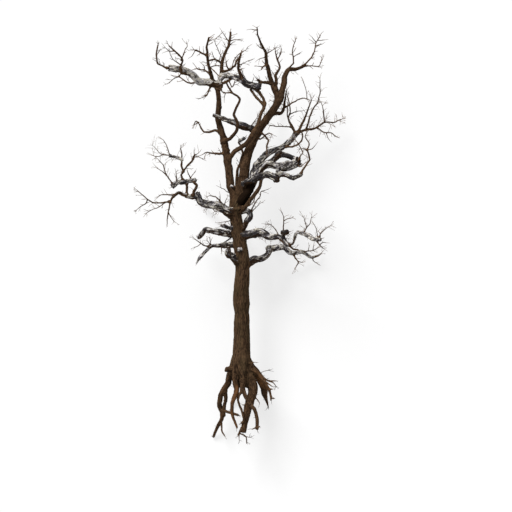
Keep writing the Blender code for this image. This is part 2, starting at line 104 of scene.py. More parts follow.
# Every other limb, each after the one that carries it: name, wood, width at the foot and at the tip,
# and the route, whose first point lies inside the limb that it grows from.
LIMBS = (
    ("stem_left", BARK, 0.43, 0.23, ((-0.35, 8.3, 0.0), (-0.51, 9.05, -0.05), (-0.67, 10.05, -0.15),
        (-0.86, 11.2, -0.26), (-1.17, 12.3, -0.3), (-1.12, 13.1, -0.3), (-1.16, 13.95, -0.3))),
    ("stem_right", BARK, 0.54, 0.43, ((-0.12, 8.38, 0.0), (0.1, 9.2, -0.03), (0.28, 10.25, -0.1),
        (0.5, 10.95, -0.15), (0.9, 11.76, -0.2), (1.39, 12.43, -0.27), (1.76, 13.02, -0.33),
        (1.94, 13.45, -0.38))),
    ("stem_side", BARK, 0.53, 0.27, ((-0.12, 7.95, 0.08), (0.28, 8.55, 0.15), (0.55, 9.05, 0.12),
        (0.8, 9.6, 0.08))),
    ("top_left", BARK, 0.31, 0.05, ((1.9, 13.25, -0.37), (1.7, 13.78, -0.4), (1.46, 14.35, -0.3),
        (1.32, 14.95, -0.1), (1.24, 15.55, 0.2), (1.0, 16.05, 0.5), (0.83, 16.5, 0.8), (0.8, 16.81, 0.95))),
    ("top_mid", BARK, 0.2, 0.05, ((1.74, 13.8, -0.4), (1.75, 14.18, -0.68), (1.73, 14.5, -0.85),
        (1.93, 14.98, -1.05), (1.8, 15.38, -1.2), (1.72, 15.78, -1.35))),
    ("top_right", BARK, 0.31, 0.11, ((1.9, 13.25, -0.37), (2.12, 13.85, -0.5), (2.21, 14.45, -0.6),
        (2.38, 14.8, -0.75), (2.75, 14.85, -0.95), (3.2, 15.03, -1.15))),
    ("top_right_tip", BARK, 0.09, 0.04, ((3.08, 14.98, -1.1), (3.45, 15.35, -1.25), (3.68, 15.75, -1.4),
        (3.77, 16.2, -1.55), (3.99, 16.6, -1.7))),
    ("elbow", BARK, 0.18, 0.05, ((1.6, 12.62, -0.4), (2.02, 12.62, -0.7), (2.16, 12.95, -0.8),
        (2.23, 13.4, -0.9), (2.3, 13.8, -1.0))),
    ("head_left", WEATHERED, 0.38, 0.26, ((-1.0, 13.95, -0.3), (-1.45, 14.11, -0.2), (-2.05, 14.2, 0.1),
        (-2.35, 14.45, 0.35), (-2.73, 14.7, 0.6), (-3.55, 14.78, 1.1))),
    ("head_right", WEATHERED, 0.23, 0.3, ((-1.15, 14.03, -0.3), (-0.98, 14.43, -0.28),
        (-0.55, 14.49, -0.15), (-0.15, 14.33, -0.02), (0.3, 14.04, 0.12), (0.93, 13.83, 0.25))),
    ("head_tip", BARK, 0.09, 0.05, ((-3.4, 14.75, 1.0), (-3.8, 14.83, 1.25), (-4.1, 14.98, 1.4),
        (-4.19, 15.45, 1.5), (-4.1, 15.88, 1.6))),
    ("head_riser", BARK, 0.11, 0.05, ((-2.6, 14.58, 0.5), (-2.95, 14.53, 0.8), (-3.0, 14.83, 1.0),
        (-2.9, 15.18, 1.15), (-3.15, 15.5, 1.3), (-3.55, 15.85, 1.5))),
    ("spike_left", BARK, 0.15, 0.04, ((-1.43, 14.15, -0.2), (-1.53, 14.65, 0.0), (-1.65, 15.25, 0.25),
        (-1.69, 15.85, 0.5), (-1.58, 16.32, 0.7))),
    ("spike_mid", BARK, 0.16, 0.05, ((-0.98, 14.43, -0.3), (-0.97, 14.95, -0.5), (-0.88, 15.45, -0.7),
        (-0.61, 16.1, -0.95), (-0.53, 16.73, -1.2))),
    ("spike_right", BARK, 0.14, 0.05, ((0.15, 14.15, 0.07), (-0.08, 14.58, 0.35), (-0.12, 15.05, 0.6),
        (0.0, 15.5, 0.85))),
    ("cross_limb", WEATHERED, 0.31, 0.12, ((0.83, 11.62, -0.2), (0.45, 11.82, 0.05),
        (-0.05, 11.99, 0.15), (-0.65, 12.23, 0.12), (-1.38, 12.48, 0.1))),
    ("arch_low", BARK, 0.23, 0.21, ((-0.68, 10.2, -0.18), (-0.43, 10.53, 0.02), (-0.03, 10.85, 0.2),
        (0.38, 11.2, 0.32), (0.65, 11.62, 0.42))),
    ("arch_high", BARK, 0.19, 0.13, ((0.56, 11.46, 0.38), (0.83, 12.05, 0.42), (1.05, 12.65, 0.38),
        (1.23, 13.05, 0.34), (1.1, 13.33, 0.28), (0.83, 13.7, 0.22))),
    ("zigzag", BARK, 0.19, 0.08, ((-0.93, 11.18, -0.25), (-0.55, 11.31, 0.05), (-0.23, 11.73, 0.42),
        (-0.18, 12.1, 0.52), (-0.35, 12.5, 0.55), (-0.06, 13.28, 0.5), (-0.45, 13.59, 0.55),
        (-0.73, 14.08, 0.6))),
    ("squiggle", BARK, 0.15, 0.04, ((-1.0, 11.6, -0.28), (-1.33, 11.76, -0.45), (-1.6, 11.67, -0.6),
        (-1.88, 11.71, -0.7), (-2.11, 12.1, -0.85), (-2.26, 12.23, -0.95), (-2.38, 12.06, -1.0))),
    ("bough_upper", WEATHERED, 0.23, 0.19, ((0.55, 9.2, 0.08), (0.69, 9.85, -0.1), (1.0, 10.28, -0.35),
        (1.55, 10.74, -0.65), (2.15, 10.97, -0.9), (2.78, 11.6, -1.15))),
    ("bough_middle", WEATHERED, 0.29, 0.22, ((0.53, 9.05, 0.12), (0.97, 9.76, 0.2), (1.48, 10.18, 0.3),
        (1.98, 10.61, 0.4))),
    ("bough_bar", WEATHERED, 0.18, 0.23, ((1.89, 10.54, 0.38), (2.23, 10.49, 0.45), (2.8, 10.25, 0.6))),
    ("bough_fat", WEATHERED, 0.26, 0.27, ((1.33, 10.03, 0.28), (1.62, 9.99, 0.55), (2.05, 9.88, 0.8),
        (2.5, 9.96, 1.0), (2.85, 10.18, 1.15))),
    ("bough_low", WEATHERED, 0.26, 0.24, ((0.1, 8.97, 0.05), (0.35, 9.15, 0.5), (0.8, 9.35, 0.72),
        (1.35, 9.48, 0.95), (1.8, 9.29, 1.15))),
    ("bough_low_riser", WEATHERED, 0.21, 0.17, ((1.78, 9.25, 1.15), (1.87, 9.55, 1.2),
        (1.9, 9.83, 1.25))),
    ("bough_low_tail", WEATHERED, 0.16, 0.12, ((1.87, 9.55, 1.2), (2.2, 9.46, 1.35), (2.6, 9.34, 1.5),
        (3.0, 9.48, 1.65))),
    ("strut", BARK, 0.2, 0.14, ((-0.1, 7.7, 0.2), (0.23, 7.9, 0.5), (0.5, 8.28, 0.66),
        (0.88, 8.75, 0.76), (1.02, 9.25, 0.78))),
    ("knot_right", WEATHERED, 0.23, 0.31, ((-0.03, 6.7, 0.05), (0.18, 6.93, 0.12), (0.3, 7.22, 0.2),
        (0.48, 7.47, 0.25), (0.4, 7.63, 0.24), (0.17, 7.69, 0.18), (-0.12, 7.66, 0.08))),
    ("crown_right_a", BARK, 0.16, 0.05, ((2.73, 11.54, -1.12), (2.98, 11.9, -1.15), (3.25, 12.55, -1.1),
        (3.55, 13.33, -1.0))),
    ("crown_right_b", BARK, 0.14, 0.05, ((2.75, 11.58, -1.15), (3.08, 11.77, -1.3), (3.75, 11.92, -1.6),
        (4.23, 12.23, -1.85), (4.65, 12.21, -2.0), (5.08, 12.38, -2.2))),
    ("crown_right_c", BARK, 0.1, 0.04, ((3.28, 11.84, -1.38), (3.4, 12.25, -1.4), (3.6, 12.81, -1.35),
        (3.88, 13.2, -1.3), (3.98, 13.75, -1.2), (3.97, 14.3, -1.1))),
    ("left_crook", WEATHERED, 0.4, 0.25, ((-0.25, 7.53, 0.0), (-0.62, 7.66, 0.2), (-1.1, 7.94, 0.45),
        (-1.75, 8.04, 0.8), (-2.08, 8.25, 1.0), (-2.15, 8.6, 1.1))),
    ("left_cup", WEATHERED, 0.21, 0.05, ((-2.12, 8.39, 1.05), (-2.6, 8.4, 1.25), (-3.08, 8.56, 1.45),
        (-3.41, 8.33, 1.6), (-3.57, 7.7, 1.7), (-3.65, 6.98, 1.8))),
    ("left_out", BARK, 0.09, 0.04, ((-3.48, 8.12, 1.63), (-3.85, 8.09, 1.75), (-4.33, 8.08, 1.85),
        (-4.67, 8.3, 1.95), (-5.1, 8.68, 2.05))),
    ("left_bar", WEATHERED, 0.17, 0.17, ((-2.27, 9.2, 1.2), (-2.75, 9.14, 1.25), (-3.12, 9.1, 1.35),
        (-3.4, 8.88, 1.4))),
    ("left_post", BARK, 0.11, 0.1, ((-2.7, 8.43, 1.28), (-2.68, 9.14, 1.25))),
    ("left_shoot", BARK, 0.1, 0.05, ((-2.84, 9.15, 1.28), (-2.95, 9.48, 1.4), (-2.83, 9.68, 1.44),
        (-2.6, 9.98, 1.5), (-2.33, 10.23, 1.6), (-2.28, 10.48, 1.65))),
    ("left_fork", BARK, 0.11, 0.04, ((-2.83, 9.6, 1.42), (-2.94, 9.95, 1.5), (-2.95, 10.23, 1.6),
        (-3.5, 10.42, 1.8), (-3.95, 10.5, 1.95), (-4.35, 10.93, 2.1))),
    ("left_mid", WEATHERED, 0.31, 0.19, ((-0.12, 6.53, 0.0), (-0.75, 6.6, -0.35), (-1.35, 6.68, -0.75),
        (-1.78, 6.76, -1.05), (-1.95, 6.58, -1.2), (-2.2, 6.41, -1.35))),
    ("left_low", WEATHERED, 0.3, 0.06, ((-0.05, 6.0, 0.0), (-0.7, 5.98, -0.12), (-1.5, 5.91, -0.05),
        (-1.83, 5.6, 0.05), (-2.08, 5.32, 0.15), (-2.23, 5.05, 0.25))),
    ("left_stub", WEATHERED, 0.35, 0.19, ((0.0, 5.2, 0.05), (-0.4, 5.39, 0.25), (-0.62, 5.56, 0.4),
        (-0.62, 5.78, 0.5))),
    ("right_upper", WEATHERED, 0.4, 0.12, ((-0.08, 6.43, 0.0), (0.45, 6.53, 0.25), (0.98, 6.64, 0.5),
        (1.4, 6.41, 0.7), (1.95, 6.39, 0.95), (2.33, 5.99, 1.15))),
    ("right_upper_out", WEATHERED, 0.12, 0.13, ((2.27, 6.02, 1.13), (2.58, 6.06, 1.3), (2.78, 6.6, 1.45),
        (3.1, 6.58, 1.6), (3.6, 6.3, 1.85), (3.93, 6.3, 2.0))),
    ("right_lower", WEATHERED, 0.42, 0.23, ((0.05, 4.9, 0.0), (0.55, 5.23, -0.3), (1.15, 5.33, -0.6),
        (1.36, 5.54, -0.72), (1.42, 5.83, -0.8))),
    ("right_lower_out", WEATHERED, 0.21, 0.05, ((1.39, 5.79, -0.8), (2.15, 5.87, -1.15),
        (2.5, 5.59, -1.35), (3.05, 5.65, -1.6), (3.62, 5.38, -1.9), (4.03, 5.56, -2.1))),
    ("back_left", WEATHERED, 0.25, 0.15, ((-0.25, 7.45, -0.1), (-0.58, 7.63, -0.6), (-1.05, 7.89, -1.25),
        (-1.5, 8.01, -1.85), (-1.9, 8.1, -2.35), (-2.1, 8.3, -2.9))),
    ("back_right", WEATHERED, 0.26, 0.14, ((0.0, 6.3, -0.1), (0.43, 6.49, -0.7), (0.9, 6.6, -1.3),
        (1.35, 6.45, -1.9), (1.8, 6.4, -2.45), (2.15, 6.25, -2.9))),
    ("back_centre", BARK, 0.3, 0.12, ((-0.03, 5.9, -0.1), (-0.05, 6.18, -0.8), (-0.12, 6.6, -1.4),
        (-0.22, 7.3, -1.9), (-0.24, 8.0, -2.15), (-0.18, 8.7, -2.3))),
    ("back_high", BARK, 0.25, 0.1, ((0.58, 11.05, -0.15), (0.75, 11.48, -0.8), (1.1, 12.12, -1.5),
        (1.53, 12.73, -2.1), (1.85, 13.3, -2.7), (1.98, 13.8, -3.4))),
    ("root_left", ROOT, 0.35, 0.13, ((-0.2, -0.1, 0.0), (-0.58, -0.53, -0.15), (-0.71, -1.0, -0.3),
        (-1.01, -1.58, -0.5), (-1.1, -2.0, -0.6), (-0.92, -2.6, -0.8), (-1.12, -3.05, -1.0),
        (-1.4, -3.68, -1.6))),
    ("root_left_inner", ROOT, 0.17, 0.15, ((-0.83, -1.23, -0.38), (-0.75, -1.6, -0.4),
        (-0.8, -1.98, -0.5), (-0.91, -2.55, -0.78))),
    ("root_front_left", ROOT, 0.26, 0.07, ((-0.2, -0.3, 0.15), (-0.32, -0.8, 0.42), (-0.23, -1.25, 0.5),
        (-0.45, -1.93, 0.65), (-0.43, -2.4, 0.7), (-0.2, -3.1, 0.85))),
    ("root_centre", ROOT, 0.22, 0.11, ((0.11, -0.45, 0.25), (0.09, -1.0, 0.46), (0.33, -1.7, 0.68),
        (0.68, -2.23, 0.82), (0.8, -2.7, 0.9), (0.8, -3.15, 0.95))),
    ("root_thick", ROOT, 0.42, 0.17, ((0.35, -0.35, 0.02), (0.62, -1.0, 0.12), (0.56, -1.5, 0.2),
        (0.32, -2.1, 0.3), (0.25, -2.6, 0.35), (0.12, -3.33, 0.4))),
    ("root_right", ROOT, 0.41, 0.09, ((0.3, 0.0, -0.05), (0.68, -0.33, -0.25), (1.0, -0.8, -0.45),
        (1.18, -1.45, -0.85), (1.38, -2.23, -1.7))),
    ("root_side", ROOT, 0.25, 0.08, ((0.42, -0.05, 0.1), (0.86, -0.45, 0.3), (1.18, -0.85, 0.45),
        (1.4, -1.25, 0.55), (1.5, -1.73, 0.6))),
    ("root_back_left", ROOT, 0.25, 0.13, ((-0.05, -0.3, -0.2), (-0.21, -0.8, -0.62), (-0.26, -1.3, -1.0),
        (-0.4, -1.8, -1.4), (-0.45, -2.2, -1.9))),
    ("root_back_right", ROOT, 0.35, 0.15, ((0.23, -0.25, -0.2), (0.48, -0.9, -0.62), (0.5, -1.4, -1.05),
        (0.38, -1.9, -1.5), (0.28, -2.4, -2.0))),
)

# Small limbs and roots that the frame leaves out: name, limb or shoot that carries it, width at the
# foot and at the tip, how far it leans outwards on the way, and its route, across and up.
SHOOTS = (
    # head
    ("head_under", "stem_left", 0.15, 0.13, 0.2, ((-1.1, 14.05), (-0.85, 14.1), (-0.65, 14.23),
        (-0.4, 14.38))),
    ("hanger", "head_left", 0.1, 0.06, -0.15, ((-2.05, 14.03), (-2.5, 14.11), (-2.7, 14.15),
        (-2.95, 14.3), (-3.12, 14.43))),
    ("hanger_low", "hanger", 0.06, 0.03, -0.15, ((-3.12, 14.43), (-3.4, 14.3), (-3.68, 14.08))),
    ("hanger_high", "hanger", 0.06, 0.05, 0.1, ((-3.12, 14.43), (-2.91, 14.68))),
    ("spur_down", "head_left", 0.12, 0.06, 0.3, ((-1.5, 14.05), (-1.62, 13.7), (-1.73, 13.45))),
    ("spur_low", "spur_down", 0.05, 0.03, 0.1, ((-1.73, 13.48), (-1.95, 13.35), (-2.12, 13.3))),
    ("riser_fork", "head_riser", 0.07, 0.03, -0.2, ((-2.98, 15.15), (-2.83, 15.5), (-2.78, 15.7),
        (-2.68, 15.85), (-2.68, 15.98))),
    ("riser_low", "head_riser", 0.06, 0.03, 0.25, ((-3.01, 14.93), (-3.38, 15.2), (-3.5, 15.43))),
    ("riser_side", "head_riser", 0.06, 0.03, 0.1, ((-3.3, 15.58), (-3.55, 15.6), (-3.73, 15.75))),
    ("spike_link", "spike_mid", 0.11, 0.09, 0.5, ((-0.98, 15.12), (-1.12, 15.23), (-1.35, 15.29),
        (-1.58, 15.23))),
    ("link_left_twig", "spike_link", 0.05, 0.03, 0.1, ((-1.3, 15.29), (-1.43, 15.6))),
    ("link_right_twig", "spike_link", 0.05, 0.03, -0.1, ((-1.1, 15.23), (-0.98, 15.6))),
    ("spike_whip", "spike_mid", 0.04, 0.03, 0.35, ((-0.96, 15.3), (-1.1, 15.65), (-1.18, 15.9),
        (-1.28, 16.1), (-1.3, 16.28), (-1.1, 16.48))),
    ("arm_high", "spike_left", 0.11, 0.07, 0.3, ((-1.65, 15.45), (-1.9, 15.55), (-2.1, 15.65),
        (-2.3, 15.7))),
    ("arm_high_twig", "arm_high", 0.04, 0.03, 0.1, ((-2.27, 15.68), (-2.45, 15.38))),
    ("arm_low", "spike_left", 0.1, 0.07, -0.25, ((-1.45, 14.45), (-1.68, 14.65), (-1.83, 14.77),
        (-2.05, 14.8), (-2.2, 14.84))),
    ("arm_low_twig", "arm_low", 0.05, 0.03, 0.1, ((-1.83, 14.78), (-1.83, 14.94), (-1.93, 15.05))),
    ("spike_link_low", "spike_left", 0.06, 0.05, -0.2, ((-1.53, 14.88), (-1.35, 14.95), (-1.1, 14.98))),
    ("spike_brace", "spike_left", 0.06, 0.05, 0.15, ((-1.5, 14.83), (-1.3, 14.65), (-1.11, 14.47))),
    ("spike_left_a", "spike_left", 0.05, 0.03, 0.15, ((-1.61, 16.11), (-1.41, 16.21))),
    ("spike_mid_a", "spike_mid", 0.06, 0.03, 0.2, ((-0.58, 16.2), (-0.78, 16.45), (-0.93, 16.68))),
    ("spike_mid_b", "spike_mid", 0.06, 0.03, -0.15, ((-0.56, 16.26), (-0.35, 16.34), (-0.08, 16.35))),
    ("spike_mid_c", "spike_mid", 0.06, 0.03, 0.2, ((-0.62, 15.98), (-0.38, 16.2))),
    ("fork_mid", "spike_mid", 0.13, 0.09, 0.55, ((-0.98, 14.68), (-0.75, 14.73), (-0.58, 14.77),
        (-0.45, 14.85), (-0.28, 14.98), (-0.23, 15.18), (-0.15, 15.3))),
    ("fork_mid_left", "fork_mid", 0.09, 0.05, 0.15, ((-0.58, 14.78), (-0.65, 14.85), (-0.73, 15.03),
        (-0.75, 15.18))),
    ("fork_whip", "fork_mid", 0.05, 0.03, -0.4, ((-0.5, 14.84), (-0.35, 15.25), (-0.15, 15.53),
        (0.05, 15.7), (0.23, 15.78), (0.33, 15.93))),
    ("spike_right_low", "spike_right", 0.08, 0.05, -0.25, ((-0.12, 14.75), (0.0, 14.55), (0.12, 14.35))),
    ("spike_right_side", "spike_right", 0.06, 0.04, 0.15, ((-0.1, 14.7), (0.08, 14.78))),
    ("spike_right_arm", "spike_right", 0.05, 0.03, 0.2, ((-0.1, 14.95), (0.1, 15.01), (0.33, 15.15))),
    ("head_right_a", "head_right", 0.05, 0.03, 0.1, ((0.2, 14.32), (0.08, 14.6), (0.04, 14.73))),
    ("head_right_b", "head_right", 0.05, 0.03, 0.2, ((0.55, 14.08), (0.62, 14.25))),
    ("zigzag_arm", "zigzag", 0.08, 0.05, 0.2, ((-0.43, 13.61), (-0.75, 13.57), (-0.96, 13.64),
        (-0.97, 13.75))),
    ("zigzag_arm_twig", "zigzag_arm", 0.05, 0.03, -0.1, ((-0.78, 13.55), (-0.83, 13.33))),
    ("zigzag_high", "head_under", 0.06, 0.05, 0.2, ((-0.6, 14.2), (-0.43, 13.9), (-0.3, 14.19))),
    # top
    ("top_left_a", "top_left", 0.06, 0.03, -0.1, ((0.8, 16.68), (0.53, 16.73))),
    ("top_left_b", "top_left", 0.06, 0.04, 0.1, ((1.05, 15.8), (0.87, 15.91))),
    ("top_left_c", "top_left", 0.05, 0.03, 0.1, ((1.18, 15.4), (0.88, 15.27))),
    ("top_left_d", "top_left", 0.1, 0.06, 0.2, ((1.3, 15.0), (1.12, 14.9), (1.03, 14.77))),
    ("top_left_d_twig", "top_left_d", 0.05, 0.03, 0.1, ((1.1, 14.88), (0.82, 14.93))),
    ("top_left_e", "top_left", 0.06, 0.04, -0.1, ((1.23, 14.95), (1.13, 15.13))),
    ("top_left_f", "top_left", 0.07, 0.03, -0.3, ((1.28, 15.54), (1.45, 15.65), (1.73, 15.85))),
    ("hand", "top_left", 0.18, 0.12, 0.35, ((1.58, 14.12), (1.2, 14.14), (0.98, 14.15), (0.83, 14.25))),
    ("hand_fork", "hand", 0.1, 0.07, 0.1, ((1.03, 14.14), (0.82, 14.0))),
    ("top_mid_fork", "top_mid", 0.07, 0.03, -0.2, ((1.79, 15.34), (1.98, 15.6), (2.05, 15.9))),
    ("top_right_riser", "top_right", 0.09, 0.04, 0.35, ((2.38, 14.8), (2.5, 15.0), (2.62, 15.11),
        (2.62, 15.4), (2.58, 15.68), (2.65, 16.03), (2.72, 16.25))),
    ("riser_twig", "top_right_riser", 0.05, 0.03, 0.1, ((2.63, 15.44), (2.85, 15.58))),
    ("right_tip_a", "top_right_tip", 0.05, 0.03, 0.1, ((3.8, 16.23), (3.58, 16.5))),
    ("right_tip_b", "top_right_tip", 0.05, 0.03, -0.1, ((3.89, 16.36), (4.2, 16.38))),
    ("right_tip_c", "top_right_tip", 0.05, 0.03, 0.15, ((3.75, 16.05), (4.1, 16.15))),
    ("top_right_side", "top_right", 0.07, 0.04, 0.15, ((3.18, 15.07), (3.55, 15.04), (3.9, 15.0),
        (4.03, 15.23))),
    # middle
    ("twin_strand", "arch_high", 0.13, 0.13, -0.25, ((1.22, 12.9), (0.95, 13.15), (0.7, 13.45),
        (0.48, 13.78))),
    ("cross_twig", "cross_limb", 0.06, 0.03, 0.15, ((0.53, 12.0), (0.8, 12.35))),
    ("short_left", "stem_left", 0.15, 0.05, 0.15, ((-0.8, 10.63), (-1.07, 10.56), (-1.4, 10.59),
        (-1.7, 10.63), (-1.85, 10.57))),
    ("squiggle_twig", "squiggle", 0.06, 0.03, 0.1, ((-2.12, 12.18), (-2.35, 12.03))),
    ("crotch_shoot", "trunk", 0.18, 0.08, -0.15, ((-0.23, 8.8), (-0.23, 9.35), (-0.18, 9.7),
        (-0.03, 10.1), (0.08, 10.55), (0.0, 10.95), (-0.11, 11.13), (-0.06, 11.26))),
    ("crotch_cap", "crotch_shoot", 0.11, 0.15, 0.1, ((-0.08, 11.24), (0.19, 11.35))),
    ("elbow_arm", "elbow", 0.09, 0.05, 0.25, ((2.12, 12.95), (2.4, 13.03), (2.62, 13.18), (3.0, 13.35),
        (3.18, 13.38), (3.34, 13.3))),
    ("arm_whip", "elbow_arm", 0.04, 0.03, 0.1, ((3.3, 13.31), (3.26, 13.75), (3.14, 14.15))),
    ("stem_shoot", "stem_right", 0.1, 0.08, 0.35, ((1.0, 11.62), (1.2, 11.45), (1.38, 11.25),
        (1.3, 10.95), (1.3, 10.68))),
    ("stem_shoot_side", "stem_right", 0.08, 0.05, 0.3, ((0.95, 11.28), (1.2, 11.48), (1.4, 11.6),
        (1.55, 11.53))),
    ("tail_shoot", "bough_low_tail", 0.11, 0.08, 0.3, ((2.95, 9.43), (3.05, 9.7), (3.18, 9.9),
        (3.4, 10.2), (3.37, 10.4), (3.27, 10.68))),
    ("tail_shoot_high", "tail_shoot", 0.08, 0.03, -0.3, ((3.27, 10.68), (3.38, 11.0), (3.19, 11.35),
        (3.25, 11.54), (3.4, 11.73))),
    ("tail_twig_left", "tail_shoot", 0.06, 0.03, 0.1, ((3.27, 10.68), (3.08, 10.75), (2.93, 10.73))),
    ("tail_twig_right", "tail_shoot", 0.06, 0.03, 0.1, ((3.28, 10.7), (3.5, 10.73), (3.65, 10.88))),
    ("fat_shoot", "bough_fat", 0.07, 0.04, -0.25, ((2.83, 10.2), (2.95, 10.4), (3.08, 10.6), (3.0, 10.8),
        (2.85, 11.03), (2.73, 11.2))),
    ("fat_hook", "bough_fat", 0.08, 0.05, 0.15, ((2.83, 10.1), (2.93, 9.88), (3.08, 9.98))),
    ("upper_hook", "bough_upper", 0.11, 0.07, 0.25, ((2.2, 10.85), (2.55, 10.93), (2.83, 11.03),
        (3.03, 11.23), (3.08, 11.45), (3.03, 11.7))),
    ("strut_side", "knot_right", 0.07, 0.04, 0.2, ((0.45, 7.6), (0.62, 7.93), (0.8, 8.25), (0.95, 8.45),
        (1.0, 8.65), (1.2, 8.72))),
    ("strut_low", "strut", 0.06, 0.04, 0.15, ((0.4, 7.95), (0.62, 8.15), (0.7, 8.4))),
    ("knot_twig", "knot_right", 0.07, 0.03, 0.15, ((0.45, 7.58), (0.7, 7.8), (0.88, 8.0))),
    ("crotch_knot", "stem_left", 0.1, 0.11, 0.24, ((-0.4, 8.98), (-0.4, 8.91))),
    ("trunk_knob", "trunk", 0.15, 0.14, 0.27, ((-0.02, 5.85), (-0.07, 5.77))),
    ("trunk_whisker", "trunk", 0.05, 0.03, 0.15, ((-0.62, 8.62), (-0.85, 8.78), (-1.0, 8.85))),
    # crown right
    ("crown_b_high", "crown_right_b", 0.08, 0.03, 0.2, ((4.24, 12.2), (4.19, 12.6), (4.12, 13.0),
        (4.0, 13.28))),
    ("crown_b_low", "crown_right_b", 0.08, 0.04, 0.25, ((3.78, 11.99), (4.25, 11.68), (4.55, 11.68),
        (4.83, 11.45))),
    ("crown_b_twig", "crown_b_low", 0.05, 0.03, 0.1, ((4.3, 11.67), (4.42, 11.35))),
    ("crown_d", "bough_upper", 0.1, 0.05, 0.3, ((2.75, 11.55), (2.55, 11.9), (2.4, 12.28), (2.31, 12.7),
        (2.34, 13.05))),
    ("crown_d_level", "crown_d", 0.06, 0.05, 0.2, ((2.53, 11.95), (2.15, 11.95), (1.75, 11.98),
        (1.45, 12.0))),
    ("crown_e", "bough_upper", 0.1, 0.05, -0.2, ((2.77, 11.58), (2.65, 11.9), (2.45, 12.2),
        (2.38, 12.43), (2.47, 12.7), (2.45, 13.05), (2.33, 13.53))),
    ("crown_e_side", "crown_e", 0.06, 0.03, 0.15, ((2.45, 12.61), (2.65, 12.7), (2.85, 12.75),
        (3.1, 12.76))),
    # left
    ("crook_shoot", "left_crook", 0.08, 0.04, 0.3, ((-0.83, 7.9), (-1.03, 8.2), (-1.25, 8.38),
        (-1.58, 8.45))),
    ("crook_shoot_twig", "crook_shoot", 0.05, 0.03, 0.1, ((-1.04, 8.21), (-1.04, 8.44))),
    ("crook_twig", "left_crook", 0.06, 0.03, 0.2, ((-0.75, 7.9), (-0.78, 8.15), (-0.7, 8.33))),
    ("crook_under", "left_crook", 0.05, 0.03, 0.1, ((-1.4, 7.8), (-1.27, 7.66), (-1.15, 7.7))),
    ("out_fork", "left_out", 0.06, 0.03, -0.2, ((-4.6, 8.25), (-4.7, 8.05), (-4.95, 7.88),
        (-5.15, 7.73))),
    ("cup_low", "left_cup", 0.06, 0.03, -0.2, ((-3.56, 8.2), (-3.8, 8.05), (-4.05, 7.88), (-4.25, 7.8),
        (-4.67, 7.58))),
    ("cup_high", "left_cup", 0.08, 0.04, 0.25, ((-3.25, 8.51), (-3.65, 8.48), (-3.95, 8.47),
        (-4.05, 8.4))),
    ("cup_end", "left_cup", 0.05, 0.03, 0.15, ((-3.58, 7.6), (-3.4, 7.3), (-3.28, 7.15))),
    ("left_brace", "left_cup", 0.15, 0.14, 0.15, ((-2.43, 8.4), (-2.3, 8.7), (-2.18, 8.95),
        (-2.35, 9.13))),
    ("bar_left", "left_bar", 0.08, 0.04, 0.3, ((-3.35, 8.95), (-3.6, 9.33), (-3.73, 9.58), (-3.83, 9.95),
        (-4.05, 10.18))),
    ("bar_left_twig", "bar_left", 0.05, 0.03, 0.15, ((-3.66, 9.43), (-3.9, 9.65), (-4.15, 9.8))),
    ("bar_right", "left_bar", 0.07, 0.04, 0.15, ((-2.43, 9.15), (-2.53, 9.4), (-2.65, 9.65))),
    ("bar_right_twig", "bar_right", 0.05, 0.03, -0.1, ((-2.5, 9.33), (-2.33, 9.55))),
    ("bar_mid", "left_bar", 0.06, 0.04, 0.15, ((-3.23, 9.15), (-3.21, 9.62))),
    ("fork_grey", "left_fork", 0.14, 0.17, 0.24, ((-2.88, 10.21), (-3.15, 10.31), (-3.5, 10.4))),
    ("fork_low", "left_fork", 0.05, 0.03, -0.15, ((-3.8, 10.48), (-4.05, 10.38), (-4.3, 10.4))),
    ("fork_up", "left_fork", 0.06, 0.03, 0.2, ((-3.5, 10.41), (-3.58, 10.7), (-3.68, 10.98),
        (-3.85, 11.2))),
    ("fork_stub", "left_fork", 0.08, 0.05, 0.15, ((-2.93, 10.3), (-2.93, 10.55), (-2.98, 10.78))),
    ("shoot_side", "left_shoot", 0.07, 0.03, 0.2, ((-2.62, 9.9), (-2.43, 10.15), (-2.38, 10.38),
        (-2.1, 10.53))),
    ("shoot_twig", "left_shoot", 0.05, 0.03, -0.15, ((-2.35, 10.33), (-2.1, 10.35), (-1.93, 10.28))),
    ("mid_stub", "trunk", 0.16, 0.2, 0.35, ((-0.4, 6.83), (-0.73, 6.89), (-0.93, 6.95))),
    ("mid_twig", "trunk", 0.06, 0.03, 0.25, ((-0.5, 7.3), (-0.63, 7.2), (-0.86, 7.15))),
    ("low_arm", "left_low", 0.09, 0.04, 0.2, ((-1.45, 5.91), (-1.83, 5.97), (-2.05, 6.12),
        (-2.28, 6.29))),
    ("low_arm_twig", "low_arm", 0.04, 0.03, 0.1, ((-2.0, 6.08), (-2.18, 5.93), (-2.33, 5.88))),
    ("low_limb", "left_low", 0.08, 0.07, -0.1, ((-1.1, 6.03), (-0.85, 6.12), (-0.65, 6.25),
        (-0.48, 6.38))),
    ("low_twig_a", "left_low", 0.06, 0.03, 0.15, ((-1.5, 5.95), (-1.56, 6.05), (-1.68, 6.21))),
    ("low_twig_b", "left_low", 0.05, 0.03, 0.2, ((-1.48, 5.95), (-1.53, 6.15), (-1.58, 6.38))),
    ("low_twig_c", "left_low", 0.06, 0.04, 0.1, ((-0.98, 5.95), (-0.98, 5.68))),
    # right
    ("upper_limb", "right_upper", 0.12, 0.08, 0.15, ((1.9, 6.48), (2.02, 6.23), (2.18, 6.03),
        (2.45, 5.93), (2.65, 5.78), (2.85, 5.75))),
    ("knob_neck", "right_upper", 0.13, 0.17, 0.2, ((2.12, 6.25), (2.12, 6.58), (2.2, 6.63))),
    ("knob", "knob_neck", 0.22, 0.25, 0.05, ((2.02, 6.62), (2.33, 6.65))),
    ("knob_shoot", "knob_neck", 0.07, 0.03, 0.2, ((2.12, 6.7), (2.12, 7.05), (2.1, 7.4), (2.0, 7.65))),
    ("knob_twig", "knob_shoot", 0.05, 0.03, 0.1, ((2.13, 7.18), (2.3, 7.3), (2.5, 7.33))),
